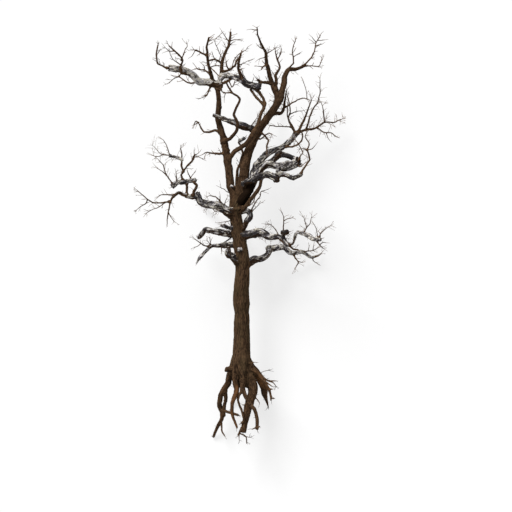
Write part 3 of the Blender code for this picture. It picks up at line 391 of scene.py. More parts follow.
    ("upper_twig", "right_upper", 0.06, 0.03, 0.15, ((1.83, 6.55), (1.73, 6.73), (1.58, 6.93),
        (1.4, 7.03))),
    ("out_shoot", "right_upper_out", 0.07, 0.03, 0.25, ((3.1, 6.6), (3.25, 6.85), (3.4, 7.03),
        (3.48, 7.33))),
    ("out_twig", "out_shoot", 0.05, 0.03, 0.15, ((3.25, 6.86), (3.18, 7.15), (3.12, 7.33))),
    ("out_tip_a", "right_upper_out", 0.1, 0.05, 0.1, ((3.75, 6.26), (3.88, 6.4), (3.95, 6.6))),
    ("out_tip_b", "out_tip_a", 0.05, 0.03, 0.1, ((3.93, 6.55), (4.2, 6.8), (4.4, 6.93))),
    ("out_tip_c", "right_upper_out", 0.05, 0.03, 0.2, ((3.8, 6.35), (3.73, 6.75), (3.62, 7.0))),
    ("out_tip_d", "right_upper_out", 0.08, 0.04, -0.2, ((3.7, 6.23), (3.88, 6.03), (4.08, 5.82))),
    ("out_tip_e", "out_tip_d", 0.05, 0.03, 0.1, ((3.89, 6.01), (4.08, 6.12), (4.2, 6.1))),
    ("lower_under", "right_lower_out", 0.09, 0.05, 0.2, ((2.62, 5.53), (2.8, 5.25), (2.88, 5.1),
        (2.78, 4.93))),
    ("lower_under_twig", "lower_under", 0.05, 0.03, 0.1, ((2.86, 5.18), (3.08, 5.12))),
    ("lower_shoot", "right_lower_out", 0.07, 0.04, 0.2, ((3.12, 5.65), (3.35, 5.7), (3.6, 5.73),
        (3.85, 5.85))),
    ("lower_shoot_a", "lower_shoot", 0.04, 0.03, 0.1, ((3.38, 5.71), (3.43, 5.93))),
    ("lower_shoot_b", "lower_shoot", 0.04, 0.03, 0.1, ((3.61, 5.73), (3.65, 5.96))),
    ("lower_tip", "right_lower_out", 0.06, 0.03, -0.1, ((3.62, 5.4), (3.65, 5.23), (3.8, 5.1))),
    ("lower_tip_up", "right_lower_out", 0.07, 0.04, 0.1, ((3.7, 5.38), (3.9, 5.45), (4.04, 5.58))),
    # roots
    ("root_stub", "trunk", 0.25, 0.24, 0.1, ((-0.35, -0.2), (-0.72, -0.2))),
    ("left_toe", "root_left", 0.11, 0.06, 0.2, ((-1.0, -3.0), (-0.95, -3.35), (-0.83, -3.58))),
    ("cross_root", "root_left", 0.16, 0.13, 0.55, ((-0.93, -2.27), (-0.65, -2.38), (-0.45, -2.4),
        (-0.15, -2.51))),
    ("strand_root", "root_centre", 0.14, 0.1, 0.15, ((0.1, -0.95), (0.0, -1.3), (-0.12, -1.55),
        (-0.15, -1.75), (-0.05, -2.0), (0.05, -2.3), (0.12, -2.6))),
    ("front_strand", "trunk", 0.1, 0.11, 0.2, ((0.18, 0.25), (0.15, -0.25), (0.12, -0.65),
        (0.1, -1.05))),
    ("centre_toe_a", "root_centre", 0.08, 0.05, 0.1, ((0.78, -3.05), (0.55, -3.14))),
    ("centre_toe_b", "root_centre", 0.08, 0.06, 0.1, ((0.79, -3.08), (0.94, -3.03))),
    ("thick_toe_a", "root_thick", 0.13, 0.08, 0.15, ((0.1, -3.0), (-0.05, -3.28), (-0.13, -3.45))),
    ("thick_toe_b", "thick_toe_a", 0.08, 0.05, -0.1, ((-0.05, -3.4), (0.23, -3.55), (0.28, -3.88))),
    ("thick_toe_c", "thick_toe_b", 0.05, 0.03, 0.1, ((0.15, -3.52), (0.45, -3.58))),
    ("thick_toe_d", "thick_toe_a", 0.06, 0.03, 0.05, ((-0.1, -3.4), (-0.08, -3.75))),
    ("thick_side", "root_thick", 0.07, 0.04, 0.15, ((0.68, -1.48), (0.83, -1.75), (0.93, -1.9))),
    ("thick_spur", "root_thick", 0.08, 0.05, 0.15, ((0.3, -1.98), (0.12, -1.97))),
    ("thick_spur_low", "root_thick", 0.11, 0.08, 0.1, ((0.12, -2.8), (0.0, -2.88))),
    ("side_a", "root_side", 0.12, 0.05, 0.1, ((0.9, -0.43), (1.1, -0.6), (1.35, -0.78), (1.73, -0.78))),
    ("side_a_fork", "side_a", 0.07, 0.04, 0.1, ((1.38, -0.78), (1.6, -0.88), (1.72, -1.0))),
    ("side_b", "root_side", 0.09, 0.05, 0.2, ((1.15, -0.75), (1.3, -0.88), (1.53, -1.03))),
    ("side_c", "root_side", 0.1, 0.07, 0.1, ((1.38, -1.21), (1.55, -1.18))),
    ("side_d", "root_side", 0.08, 0.06, 0.1, ((1.45, -1.48), (1.52, -1.62), (1.65, -1.65))),
    ("whisker", "root_side", 0.03, 0.03, 0.15, ((0.9, -0.37), (1.15, -0.3), (1.4, -0.25))),
    ("collar_spur", "trunk", 0.07, 0.05, 0.25, ((0.5, 0.0), (0.65, 0.15))),
)

# Limbs whose crust of pale, weathered wood shows: how much of them it covers at the foot and at the
# tip, and how pale it is at both.
CRUSTED = {
    "head_left": (-0.35, 1.05, 1.05, 0.78),
    "head_right": (0.8, 0.7, 1.0, 0.08),
    "cross_limb": (0.25, 0.25, 0.1, 0.32),
    "bough_upper": (0.45, 0.55, 0.35, 0.53),
    "bough_middle": (0.3, 0.15, 0.35, 0.3),
    "bough_bar": (1.0, 0.95, 0.2, 0.28),
    "bough_fat": (0.6, 0.95, 0.38, 0.52),
    "bough_low": (0.55, 0.75, 0.08, 0.36),
    "bough_low_riser": (0.1, 0.3, 0.15, 0.15),
    "bough_low_tail": (0.75, 0.5, 0.5, 0.35),
    "knot_right": (-0.6, 0.65, 0.1, 0.4),
    "left_crook": (-0.1, 0.9, 0.48, 0.56),
    "left_cup": (0.55, -0.5, 0.5, 0.4),
    "left_bar": (0.8, 0.95, 0.65, 0.3),
    "left_mid": (0.3, 0.4, 0.6, 0.5),
    "left_low": (0.45, 0.45, 0.45, 0.45),
    "left_stub": (-1.3, 0.35, -0.2, 0.6),
    "right_upper": (0.3, 0.8, 0.15, 0.4),
    "right_upper_out": (-0.8, 1.3, 0.4, 0.85),
    "right_lower": (-0.1, 0.3, 0.15, 0.45),
    "right_lower_out": (0.75, 1.3, 0.52, 0.7),
    "back_left": (0.2, 0.85, 0.5, 0.55),
    "back_right": (0.25, 0.8, 0.45, 0.5),
    "crotch_cap": (0.8, 0.8, 0.35, 0.35),
    "crotch_knot": (1.2, 1.2, 0.55, 0.65),
    "trunk_knob": (0.8, 1.2, 0.4, 0.75),
    "fork_grey": (1.3, 1.3, 1.0, 0.3),
    "low_limb": (0.7, 0.7, 0.45, 0.45),
    "mid_stub": (0.3, 1.0, 0.0, 0.35),
    "knob_neck": (0.6, 0.6, -0.1, -0.1),
    "knob": (0.6, 0.6, -0.1, -0.1),
}
# Crusted limbs whose crust lies in long streaks. On the others it is mottled.
STREAKED = {
    "head_left", "left_crook", "cross_limb", "bough_upper", "bough_middle", "bough_bar", "bough_fat",
    "bough_low", "bough_low_riser", "bough_low_tail", "right_upper", "right_lower",
}
# How far rust covers each root at the most. Every other root has the least.
RUSTED = {"root_right": 0.85, "root_side": 0.3, "root_front_left": 0.95, "root_left": 0.25}
LEAST_RUST = 0.12
STAINED = {TRUNK_BARK: 0.45, BARK: 0.55}  # how far stain covers the brown barks
# How much darker than usual a limb's bark is painted. On stem_side it is painted shade, for the hollow
# under the boughs at the fork; on the others it shifts the bark's own tone. Below nought the bark is
# lighter.
PAINTED_SHADE_AND_TONE = {
    "stem_side": 2.15, "arch_low": -0.6, "arch_high": -0.6, "root_front_left": 0.45, "root_right": 0.25,
}
# Girth of the gnarled limbs against the frame's solids, at even steps from foot to tip.
GIRTHS = {
    "head_left": (1.0, 1.0, 1.0, 1.1, 1.15), "head_right": (1.1, 1.05, 1.1, 1.25, 1.3),
    "stem_right": (1.0, 1.0, 0.95, 0.85, 0.8, 0.82), "elbow": (1.2, 1.1), "top_right": (1.15, 1.2, 1.1),
    "spike_left": (1.3, 1.35, 2.0), "spike_mid": (1.35, 1.35, 2.0), "spike_right": (1.3, 1.4, 2.0),
    "head_tip": (1.2, 1.2, 1.5), "head_riser": (1.1, 1.2, 1.4), "cross_limb": (1.1, 1.4, 1.55, 1.4),
    "bough_upper": (1.1, 1.5, 1.35, 1.3, 1.4), "bough_middle": (1.1, 1.25, 1.25),
    "bough_bar": (1.35, 1.15), "bough_fat": (1.1, 1.6, 1.65), "bough_low": (1.15, 1.4),
    "bough_low_riser": (1.1,),
    "bough_low_tail": (1.6, 1.6), "strut": (1.1, 1.15),
    "left_crook": (1.05, 1.25, 1.25, 1.1, 1.0), "left_mid": (1.15,),
    "left_cup": (1.0, 1.1, 1.0, 0.8, 0.7, 0.7), "left_post": (1.2,), "left_shoot": (1.2, 1.0),
    "left_low": (1.05, 1.1, 1.1, 1.1, 1.0, 1.7, 0.8), "left_stub": (1.4, 1.35, 1.35),
    "left_bar": (1.45, 1.4, 1.45, 1.8), "left_fork": (1.0, 1.0, 0.9, 0.7, 0.6, 0.5),
    "right_upper": (1.15, 1.2, 1.35, 1.55, 1.4, 1.2), "right_upper_out": (0.9, 0.85, 1.4, 1.8, 1.8, 1.7),
    "right_lower": (1.0, 1.0, 1.1, 1.1), "right_lower_out": (1.55, 1.6, 1.6, 1.9, 1.5),
    "root_thick": (1.05, 1.2, 1.4, 1.5, 1.5), "root_right": (1.1, 1.2, 1.3, 1.2, 0.5),
    "root_front_left": (1.1, 1.25, 1.3, 1.3), "root_centre": (1.1, 1.3),
}
# Ridges that run over the bark from one limb to the next: height, width and route.
RIDGES = (
    (0.13, 0.075, ((-0.5, 7.82, 0.12), (-0.25, 7.8, 0.3), (0.05, 7.84, 0.32), (0.28, 7.98, 0.22))),
    (0.055, 0.07, ((0.1, 8.9, 0.28), (-0.04, 8.62, 0.36), (-0.14, 8.25, 0.36), (-0.2, 7.95, 0.3))),
    (0.045, 0.08, ((-0.3, 9.1, 0.1), (-0.36, 8.7, 0.26), (-0.28, 8.3, 0.36), (-0.24, 7.95, 0.32))),
    (0.08, 0.09, ((0.16, 0.35, 0.42), (0.18, -0.1, 0.5), (0.14, -0.55, 0.56), (0.1, -0.95, 0.48))),
    (0.06, 0.08, ((-0.3, 0.2, 0.35), (-0.32, -0.3, 0.46), (-0.33, -0.75, 0.44))),
    (0.05, 0.07, ((-0.22, 5.15, 0.22), (-0.12, 5.6, 0.34), (-0.14, 5.95, 0.33))),
)
# Limbs that end in broken wood. The others round off, or another limb carries them on.
BROKEN = {
    "head_left", "head_right", "bough_bar", "bough_fat", "left_crook", "left_bar", "left_mid",
    "left_stub", "right_upper_out", "back_left", "back_right", "back_centre", "back_high", "root_left",
    "root_left_inner", "root_thick", "root_back_left", "root_back_right",
}

# Groups of limbs that one operator makes.
STEMS = (
    "stem_left", "stem_right", "stem_side", "top_left", "top_mid", "top_right", "top_right_tip", "elbow",
    "arch_low", "arch_high", "zigzag", "squiggle", "strut",
)
HEAD = (
    "head_left", "head_right", "head_tip", "head_riser", "spike_left", "spike_mid", "spike_right",
    "cross_limb",
)
RIGHT_BOUGHS = (
    "bough_upper", "bough_middle", "bough_bar", "bough_fat", "bough_low", "bough_low_riser",
    "bough_low_tail", "knot_right", "crown_right_a", "crown_right_b", "crown_right_c", "right_upper",
    "right_upper_out", "right_lower", "right_lower_out",
)
LEFT_BOUGHS = (
    "left_crook", "left_cup", "left_out", "left_bar", "left_post", "left_shoot", "left_fork", "left_mid",
    "left_low", "left_stub",
)
BACK_BOUGHS = ("back_left", "back_right", "back_centre", "back_high")
ROOTS = (
    "root_left", "root_left_inner", "root_front_left", "root_centre", "root_thick", "root_right",
    "root_side", "root_back_left", "root_back_right",
)
WITHOUT_BUTTRESS = ("root_left_inner", "root_side")  # roots that leave no ridge on the trunk

# How a wood's surface is shaped: the length of a mesh cell, the depth of its swellings, flutes and
# warts as shares of its radius, the furrows' depth, width and length, turns of the grain per metre,
# and how far a limb blends into another.
Wood = namedtuple("Wood", "cell swelling flute wart furrow furrow_width furrow_length twist blend")
WOODS = {
    TRUNK_BARK: Wood(0.0185, 0.05, 0.12, 0.05, 0.026, 0.05, 0.6, 0.1, 0.28),
    BARK: Wood(0.022, 0.09, 0.2, 0.2, 0.013, 0.036, 0.25, 0.35, 0.12),
    WEATHERED: Wood(0.021, 0.17, 0.62, 0.26, 0.014, 0.04, 0.22, 0.55, 0.12),
    ROOT: Wood(0.022, 0.14, 0.36, 0.18, 0.013, 0.036, 0.24, 0.6, 0.2),
}
CELL_SHAPE = 0.78  # width of a mesh cell against its length
RELIEF_SHARE = 0.13  # the most that furrows may cut into a limb, as a share of its radius
SLENDER = (0.035, 0.11)  # radii between which a limb's bark turns from light to dark
BLEND_RADII = 2.0  # the furthest that a limb blends into another, in radii of its own
BLEND_CARRIER_RADII = 1.1  # and in radii of the other
BLEND_SWELL = 2.6  # reach of a blend against the most that it swells
ANGULAR = {TRUNK_BARK: 0.0, BARK: 0.55, WEATHERED: 0.25, ROOT: 0.25}  # share of a route's angles kept
KINK_LEAST = 0.014  # how far a limb's kinks stray from its route, and the share of its radius added
KINK_SHARE = 0.13
KINK_SPACING = 0.2  # distance between kinks, and the number of radii added
KINK_RADII = 1.3
UNEVEN = (0.6, 1.4)  # the least and the most of a usual spacing
TOP_TAPER = 0.45  # share by which the trunk narrows inside the stems that carry it on
TOP_LENGTH = 0.75
BUTTRESS_WIDTH = 1.15  # width of a ridge that runs up from a root, in radii of the root
BUTTRESS_DEPTH = 0.45
BUTTRESS_RISE = 1.3
RIDGE_STEP = 0.03
RIDGE_REACH = 2.5  # how far a ridge is felt, in widths
HOLLOW_DEPTH = 0.3  # how deep the trunk's foot sinks between its roots, in radii
HOLLOW_RISE = 1.25
HOLLOW_FULL = 0.2  # height up to which the hollows are at their deepest
FEWEST_SIDES = 9
SHOOT_STEP = 0.034  # length of a mesh cell on the shoots
FOOT_OFFSET = 0.4  # how far off a limb's middle a shoot starts, in radii
ROOTS_UP_TO = 1.0  # shoots that start below this height are roots
DENSE_STEPS = 48  # steps along each stretch of a route
NOISE_FAR = 37.0  # how far apart the limbs lie in the noise
OCTAVE_FALL = 0.9  # how fast the finer octaves of a noise fade, and how much finer each is
OCTAVE_STEP = 2.0
CLOSE_STEP = 0.07  # spacing of the places that nearness to a limb is measured from
UV_MARGIN = 0.02  # share of a strip's width left empty on each side

CARRIERS = {shoot[0]: shoot[1] for shoot in SHOOTS}
Line = namedtuple("Line", "name wood places radii ahead side over run")


def smooth_step(values, low, high):
    share = np.clip((values - low) / (high - low), 0.0, 1.0)
    return share * share * (3.0 - 2.0 * share)


def scaled(values, amount):
    return tuple(value * amount for value in values)


def unit_rows(vectors):
    return vectors / np.maximum(np.linalg.norm(vectors, axis=1, keepdims=True), 1e-9)


def add_object(name, data):
    made = bpy.data.objects.new(name, data)
    bpy.context.collection.objects.link(made)
    return made


# ---------------------------------------------------------------- routes


def lay_down(across, up, out, radius):
    """The place of a point of the standing tree once the tree lies down, held up by the floor."""
    place = LEAN @ Vector((across, up, out)) + COLLAR
    place.z = max(place.z, REST_DEPTH * radius)
    return place


def bezier_knots(places):
    """Knots of a smooth curve through the places, each with its handles."""
    curve = bpy.data.curves.new("route", "CURVE")
    curve.dimensions = "3D"
    spline = curve.splines.new("BEZIER")
    spline.bezier_points.add(len(places) - 1)
    for knot, place in zip(spline.bezier_points, places):
        knot.co = place
        knot.handle_left_type = "AUTO"
        knot.handle_right_type = "AUTO"
    drawn = add_object("route", curve)
    bpy.context.view_layer.update()
    knots = [
        (np.array(knot.handle_left), np.array(knot.co), np.array(knot.handle_right))
        for knot in spline.bezier_points
    ]
    bpy.data.objects.remove(drawn)
    bpy.data.curves.remove(curve)
    return knots


def smooth_route(stations, step, angular=0.0):
    """Even steps along the curve through the stations, which may keep a share of its angles."""
    knots = bezier_knots([place for place, _ in stations])
    share = np.linspace(0.0, 1.0, DENSE_STEPS, endpoint=False)[:, None]
    rest = 1.0 - share
    places, radii = [], []
    for number, (before, after) in enumerate(zip(knots, knots[1:])):
        _, start, leave = before
        arrive, end, _ = after
        curve = rest**3 * start + share**3 * end
        curve += 3 * rest**2 * share * leave + 3 * rest * share**2 * arrive
        straight = start + (end - start) * (3 * share**2 - 2 * share**3)
        places.append(curve + (straight - curve) * angular)
        widths = stations[number][1], stations[number + 1][1]
        radii.append(widths[0] + (widths[1] - widths[0]) * share[:, 0])
    places = np.vstack(places + [knots[-1][1][None]])
    radii = np.concatenate(radii + [[stations[-1][1]]])
    run = np.concatenate([[0.0], np.cumsum(np.linalg.norm(np.diff(places, axis=0), axis=1))])
    even = np.linspace(0.0, run[-1], max(4, math.ceil(run[-1] / step)) + 1)
    places = np.stack([np.interp(even, run, places[:, axis]) for axis in range(3)], axis=1)
    return places, np.interp(even, run, radii), even


def kinked(name, places, radii, run):
    """The places moved aside in small uneven kinks, except at the foot and the tip."""
    chance = random.Random("kinks of " + name)
    spacing = KINK_SPACING + KINK_RADII * float(np.mean(radii))
    marks = [0.0]
    while marks[-1] < run[-1]:
        marks.append(marks[-1] + spacing * chance.uniform(*UNEVEN))
    marks[-1] = run[-1]
    moves = np.array([[chance.uniform(-1.0, 1.0) for _ in range(3)] for _ in marks])
    moves[0] = moves[-1] = 0.0
    moved = np.stack([np.interp(run, marks, moves[:, axis]) for axis in range(3)], axis=1)
    return places + moved * (KINK_LEAST + KINK_SHARE * radii)[:, None]


def line_along(name, wood, stations, step):
    """A limb's middle line, with the directions ahead, to the side and over it at each step."""
    places, radii, run = smooth_route(stations, step, ANGULAR[wood])
    if wood != TRUNK_BARK:
        places = kinked(name, places, radii, run)
    ahead = unit_rows(np.gradient(places, axis=0))
    ahead[1:-1] = unit_rows(ahead[:-2] + ahead[1:-1] + ahead[2:])
    sides = [-np.array(TREE_OUT)]
    for direction in ahead:
        side = sides[-1] - direction * (sides[-1] @ direction)
        sides.append(side / np.linalg.norm(side))
    side = np.array(sides[1:])
    return Line(name, wood, places, radii, ahead, side, np.cross(ahead, side), run)


def limb_stations(foot_width, tip_width, route):
    """Places along a limb with its radius there, which narrows evenly from foot to tip."""
    run = [0.0]
    for before, after in zip(route, route[1:]):
        run.append(run[-1] + (Vector(after) - Vector(before)).length)
    stations = []
    for point, distance in zip(route, run):
        radius = (foot_width + (tip_width - foot_width) * distance / run[-1]) / 2
        stations.append((lay_down(*point, radius), radius))
    return stations


@functools.cache
def limb_lines():
    """The middle line of every limb of the frame, by name."""
    stations = [(lay_down(across, up, 0.0, width / 2), width / 2) for across, up, width in TRUNK]
    trunk = line_along("trunk", TRUNK_BARK, stations, WOODS[TRUNK_BARK].cell)
    trunk.radii[:] *= 1.0 - TOP_TAPER * smooth_step(trunk.run, trunk.run[-1] - TOP_LENGTH, trunk.run[-1])
    lines = {"trunk": trunk}
    for name, wood, foot_width, tip_width, route in LIMBS:
        stations = limb_stations(foot_width, tip_width, route)
        lines[name] = line_along(name, wood, stations, WOODS[wood].cell)
        girths = GIRTHS.get(name, (1.0,))
        share = lines[name].run / lines[name].run[-1]
        lines[name].radii[:] *= np.interp(share, np.linspace(0.0, 1.0, len(girths)), girths)
    missing = sorted(set(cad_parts) ^ set(lines))
    if missing:
        raise ValueError(f"the frame and the routes differ in {missing}")
    return lines


def nearest_place(line, across, up):
    """The step of a line that lies nearest to a point of the tree seen from its outer side."""
    flat = (line.places - np.array(COLLAR)) @ np.array([TREE_ACROSS, TREE_UP]).T
    return int(np.argmin(np.linalg.norm(flat - (across, up), axis=1)))


def seated_route(carrying, lean, route):
    """A shoot's route, across, up and out, which starts inside the limb that carries it."""
    start = nearest_place(carrying, *route[0])
    offset = carrying.places[start] - np.array(COLLAR)
    across, up, depth = (float(offset @ np.array(axis)) for axis in (TREE_ACROSS, TREE_UP, TREE_OUT))
    radius = float(carrying.radii[start])
    outer = depth + math.copysign(FOOT_OFFSET * radius, lean)
    points = [(*place, outer + lean * number / (len(route) - 1)) for number, place in enumerate(route)]
    aside = Vector(route[0]) - Vector((across, up))
    if aside.length < radius:
        points[0] = (across, up, depth)
    elif aside.dot(Vector(route[1]) - Vector(route[0])) > 0.0:
        points.insert(0, (across, up, depth))
    return points


@functools.cache
def shoot_lines():
    """The middle line of every small limb, starting inside the limb that carries it."""
    lines = {}
    for name, carrier, foot_width, tip_width, lean, route in SHOOTS:
        carrying = lines.get(carrier) or limb_lines()[carrier]
        stations = limb_stations(foot_width, tip_width, seated_route(carrying, lean, route))
        wood = ROOT if route[0][1] < ROOTS_UP_TO else WEATHERED if name in CRUSTED else BARK
        lines[name] = line_along(name, wood, stations, SHOOT_STEP)
    return lines


@functools.cache
def noise_marks():
    """A number of its own for every limb, so that no two lie in the same noise."""
    return {name: mark for mark, name in enumerate(sorted(limb_lines()) + sorted(shoot_lines()), 1)}


def frame_limb(name):
    """The limb of the frame that a shoot goes back to, or the limb itself."""
    while name in CARRIERS:
        name = CARRIERS[name]
    return name


# ---------------------------------------------------------------- surfaces

# How far each noise is moved, so that no two show the same pattern.
SHIFT = {
    "sway": 11.0, "slide": -7.0, "flutes": 5.0, "warts": 41.0, "crumbs": 3.0, "fibres": 17.0,
    "patches": 21.0, "bleaching": 31.0, "splinters": 2.0,
}
ROUND_END = (25, 50, 75)  # angles of the rings that round off an end
ROUND_LENGTH = 0.55  # length of a rounded end, in radii
# Rings of a broken end: how far each lies past the last whole ring, and its size, in radii.
BROKEN_END = ((0.12, 0.94), (0.02, 0.72), (-0.16, 0.42), (-0.22, 0.16))


def field(points, sample):
    """One number for each point, from a function of its place."""
    return np.array([sample(point) for point in points.tolist()])


def soft_noise(points, size, octaves=1):
    """Smooth noise from about -1 to 1, whose features are of that size."""
    spots = points / np.array(size)
    if octaves == 1:
        return field(spots, noise.noise)
    return field(spots, lambda point: noise.fractal(point, OCTAVE_FALL, OCTAVE_STEP, octaves))


FURROW_SWAY = 0.8  # how far furrows stray sideways, in widths, and along, in lengths
FURROW_SLIDE = 0.5
FURROW_FLANK = 0.34  # how far in from its edge a plate slopes, in plates


def furrow_height(grain, width, length):
    """Bark plates from 0, in a furrow, to 1, on a plate's face."""
    bent = grain.copy()
    sway = soft_noise(grain + SHIFT["sway"], (4 * width, 4 * width, length))
    bent[:, 0] += sway * width * FURROW_SWAY
    bent[:, 1] += sway * width * FURROW_SWAY
    slide = soft_noise(grain + SHIFT["slide"], (2 * width, 2 * width, length))
    bent[:, 2] += slide * length * FURROW_SLIDE

    def plate_edge(point):
        near, second = noise.voronoi(point)[0][:2]
        return second - near

    edge = field(bent / np.array((width, width, length)), plate_edge)
    return smooth_step(edge, 0.0, FURROW_FLANK)


def tube_rows(line, broken):
    """Rings of the closed tube round a line: middle, size and distance along it, ends included."""
    rows = [(0, -ROUND_LENGTH * math.sin(turn), math.cos(turn)) for turn in np.radians(ROUND_END[::-1])]
    rows += [(step, 0.0, 1.0) for step in range(len(line.run))]
    last = len(line.run) - 1
    if broken:
        rows += [(last, *ring) for ring in BROKEN_END]
    else:
        rows += [(last, ROUND_LENGTH * math.sin(turn), math.cos(turn)) for turn in np.radians(ROUND_END)]
    return rows


def tube_shape(line, sides, broken):
    """Places, grain coordinates and the run of a closed tube. The last two points are its poles."""
    twist = WOODS[line.wood].twist
    turns = np.linspace(0.0, 2.0 * math.pi, sides, endpoint=False)
    typical = float(np.mean(line.radii))
    places, grain, run = [], [], []
    for step, along, size in tube_rows(line, broken):
        radius = line.radii[step]
        middle = line.places[step] + line.ahead[step] * along * radius
        distance = line.run[step] + along * radius
        ring = np.cos(turns)[:, None] * line.side[step] + np.sin(turns)[:, None] * line.over[step]
        places.append(middle + ring * radius * size)
        spin = turns + twist * distance
        wide, deep = np.cos(spin) * typical * size, np.sin(spin) * typical * size
        grain.append(np.stack([wide, deep, np.full(sides, distance)], axis=1))
        run.append((middle, radius * size))
    poles = [(places[end].mean(axis=0), grain[end].mean(axis=0)) for end in (0, -1)]
    middles = np.array([poles[0][0]] + [middle for middle, _ in run] + [poles[1][0]])
    sizes = np.array([0.0] + [radius for _, radius in run] + [0.0])
    lengths = np.hypot(np.linalg.norm(np.diff(middles, axis=0), axis=1), np.diff(sizes))
    places = np.vstack(places + [pole for pole, _ in poles])
    places[:, 2] = np.maximum(places[:, 2], 0.0)
    grain = np.vstack(grain + [mark for _, mark in poles])
    grain[:, :2] += NOISE_FAR * noise_marks()[line.name]
    return places, grain, np.concatenate([[0.0], np.cumsum(lengths)])


def tube_faces(rows, sides):
    """Quads between neighbouring rings, then the triangles that close the foot and the tip."""
    ring = np.arange(sides)
    after = (ring + 1) % sides
    starts = (np.arange(rows - 1) * sides)[:, None]
    above = starts + sides
    quads = np.stack([starts + ring, starts + after, above + after, above + ring], axis=2)
    foot = np.stack([after, ring, np.full(sides, rows * sides)], axis=1)
    last = (rows - 1) * sides
    tip = np.stack([last + ring, last + after, np.full(sides, rows * sides + 1)], axis=1)
    return quads.reshape(-1, 4), foot, tip


def mesh_from(name, points, *face_groups):
    """A mesh of numpy points and groups of faces, each group with its own number of corners."""
    mesh = bpy.data.meshes.new(name)
    mesh.vertices.add(len(points))
    mesh.vertices.foreach_set("co", np.asarray(points, np.float32).ravel())
    corners = np.concatenate([group.ravel() for group in face_groups]).astype(np.int32)
    counts = np.concatenate([np.full(len(group), group.shape[1]) for group in face_groups])
    mesh.loops.add(len(corners))
    mesh.loops.foreach_set("vertex_index", corners)
    mesh.polygons.add(len(counts))
    mesh.polygons.foreach_set("loop_start", (np.cumsum(counts) - counts).astype(np.int32))
    mesh.update(calc_edges=True)
    mesh.shade_smooth()
    return mesh


def lay_out_strips(mesh, rows, sides, run, girth, cell):
    """Unrolls a tube into strips side by side, which fill one cell of a grid over the image."""
    strips = max(1, round(math.sqrt(run[-1] / girth)))
    cuts = np.searchsorted(run[1:-1], np.linspace(0.0, run[-1], strips + 1)[1:-1])
    strip_of_row = np.searchsorted(cuts, np.arange(rows - 1), side="right")
    begins = np.concatenate([[0.0], run[1:-1][cuts]])
    ends = np.concatenate([run[1:-1][cuts], [run[-1]]])
    height = (ends - begins).max() * (1.0 + 2.0 * UV_MARGIN)
    width = 1.0 / strips

    def flat(strip, around, distance):
        u = (strip + UV_MARGIN + (1.0 - 2.0 * UV_MARGIN) * around) * width
        v = (distance - begins[strip]) / height + UV_MARGIN / 2
        return np.stack(np.broadcast_arrays(u, v), axis=-1)

    around = np.arange(sides) / sides
    step = 1.0 / sides
    strip = strip_of_row[:, None]
    low, high = run[1:-2, None], run[2:-1, None]
    quads = np.stack(
        [flat(strip, around, low), flat(strip, around + step, low),
         flat(strip, around + step, high), flat(strip, around, high)],
        axis=2,
    )

    def cap(strip, turns, rim, pole):
        corners = [flat(strip, turn, rim) for turn in turns]
        return np.stack([*corners, flat(strip, around + step / 2, pole)], axis=1)

    foot = cap(np.zeros(1, int), (around + step, around), run[1], run[0])
    tip = cap(np.full(1, strips - 1), (around, around + step), run[-2], run[-1])
    layer = mesh.uv_layers.new(name="OFBake")
    values = np.concatenate([quads.reshape(-1, 2), foot.reshape(-1, 2), tip.reshape(-1, 2)])
    column, row, cells = cell
    values = (values + (column, row)) / cells
    layer.uv.foreach_set("vector", values.astype(np.float32).ravel())


def outside(points, line):
    """How far each point is outside a limb's smooth tube."""
    stride = max(1, round(CLOSE_STEP / (line.run[1] - line.run[0])))
    places, ahead, radii = line.places[::stride], line.ahead[::stride], line.radii[::stride]
    nearest = np.argmin(((points[:, None] - places[None]) ** 2).sum(axis=2), axis=1)
    away = points - places[nearest]
    along = np.clip((away * ahead[nearest]).sum(axis=1), -CLOSE_STEP / 2, CLOSE_STEP / 2)
    return np.linalg.norm(away - ahead[nearest] * along[:, None], axis=1) - radii[nearest]


@functools.cache
def neighbours(name):
    """The limbs that a limb grows from, carries or leans on, or the one that carries a shoot."""
    lines = limb_lines()
    if name in CARRIERS:
        carrier = CARRIERS[name]
        return [shoot_lines().get(carrier) or lines[carrier]]
    line = lines[name]
    found = []
    for other in lines.values():
        if other.name == name:
            continue
        close = outside(line.places[::3], other) - line.radii[::3]
        if close.min() < 0.0:
            found.append(other)
    return found


def blend_offsets(line, places):
    """How far each point swells where its limb runs into another, so that the two flow together."""
    swell = np.zeros(len(places))
    for other in neighbours(line.name):
        reach = min(
            WOODS[line.wood].blend, WOODS[other.wood].blend, BLEND_RADII * line.radii.max(),
            BLEND_CARRIER_RADII * other.radii.max(),
        )
        low = other.places.min(axis=0) - other.radii.max() - reach
        high = other.places.max(axis=0) + other.radii.max() + reach
        near = np.flatnonzero(((places > low) & (places < high)).all(axis=1))
        if len(near):
            gap = np.maximum(reach - np.abs(outside(places[near], other)), 0.0)
            swell[near] = np.maximum(swell[near], gap**2 / (BLEND_SWELL * reach))
    return swell


def vertex_normals(mesh):
    normals = np.empty(len(mesh.vertices) * 3, np.float32)
    mesh.vertex_normals.foreach_get("vector", normals)
    return normals.reshape(-1, 3).astype(float)


def set_points(mesh, points):
    mesh.vertices.foreach_set("co", points.astype(np.float32).ravel())
    mesh.update()


def give_values(mesh, name, values):
    attribute = mesh.attributes.new(name, "FLOAT", "POINT")
    attribute.data.foreach_set("value", np.asarray(values, np.float32))


def give_vectors(mesh, name, vectors):
    attribute = mesh.attributes.new(name, "FLOAT_VECTOR", "POINT")
    attribute.data.foreach_set("vector", np.asarray(vectors, np.float32).ravel())


def relief_depth(wood):
    look = bpy.context.scene.dead_tree_wood
    return look.trunk_furrow if wood == TRUNK_BARK else WOODS[wood].furrow * look.limb_relief


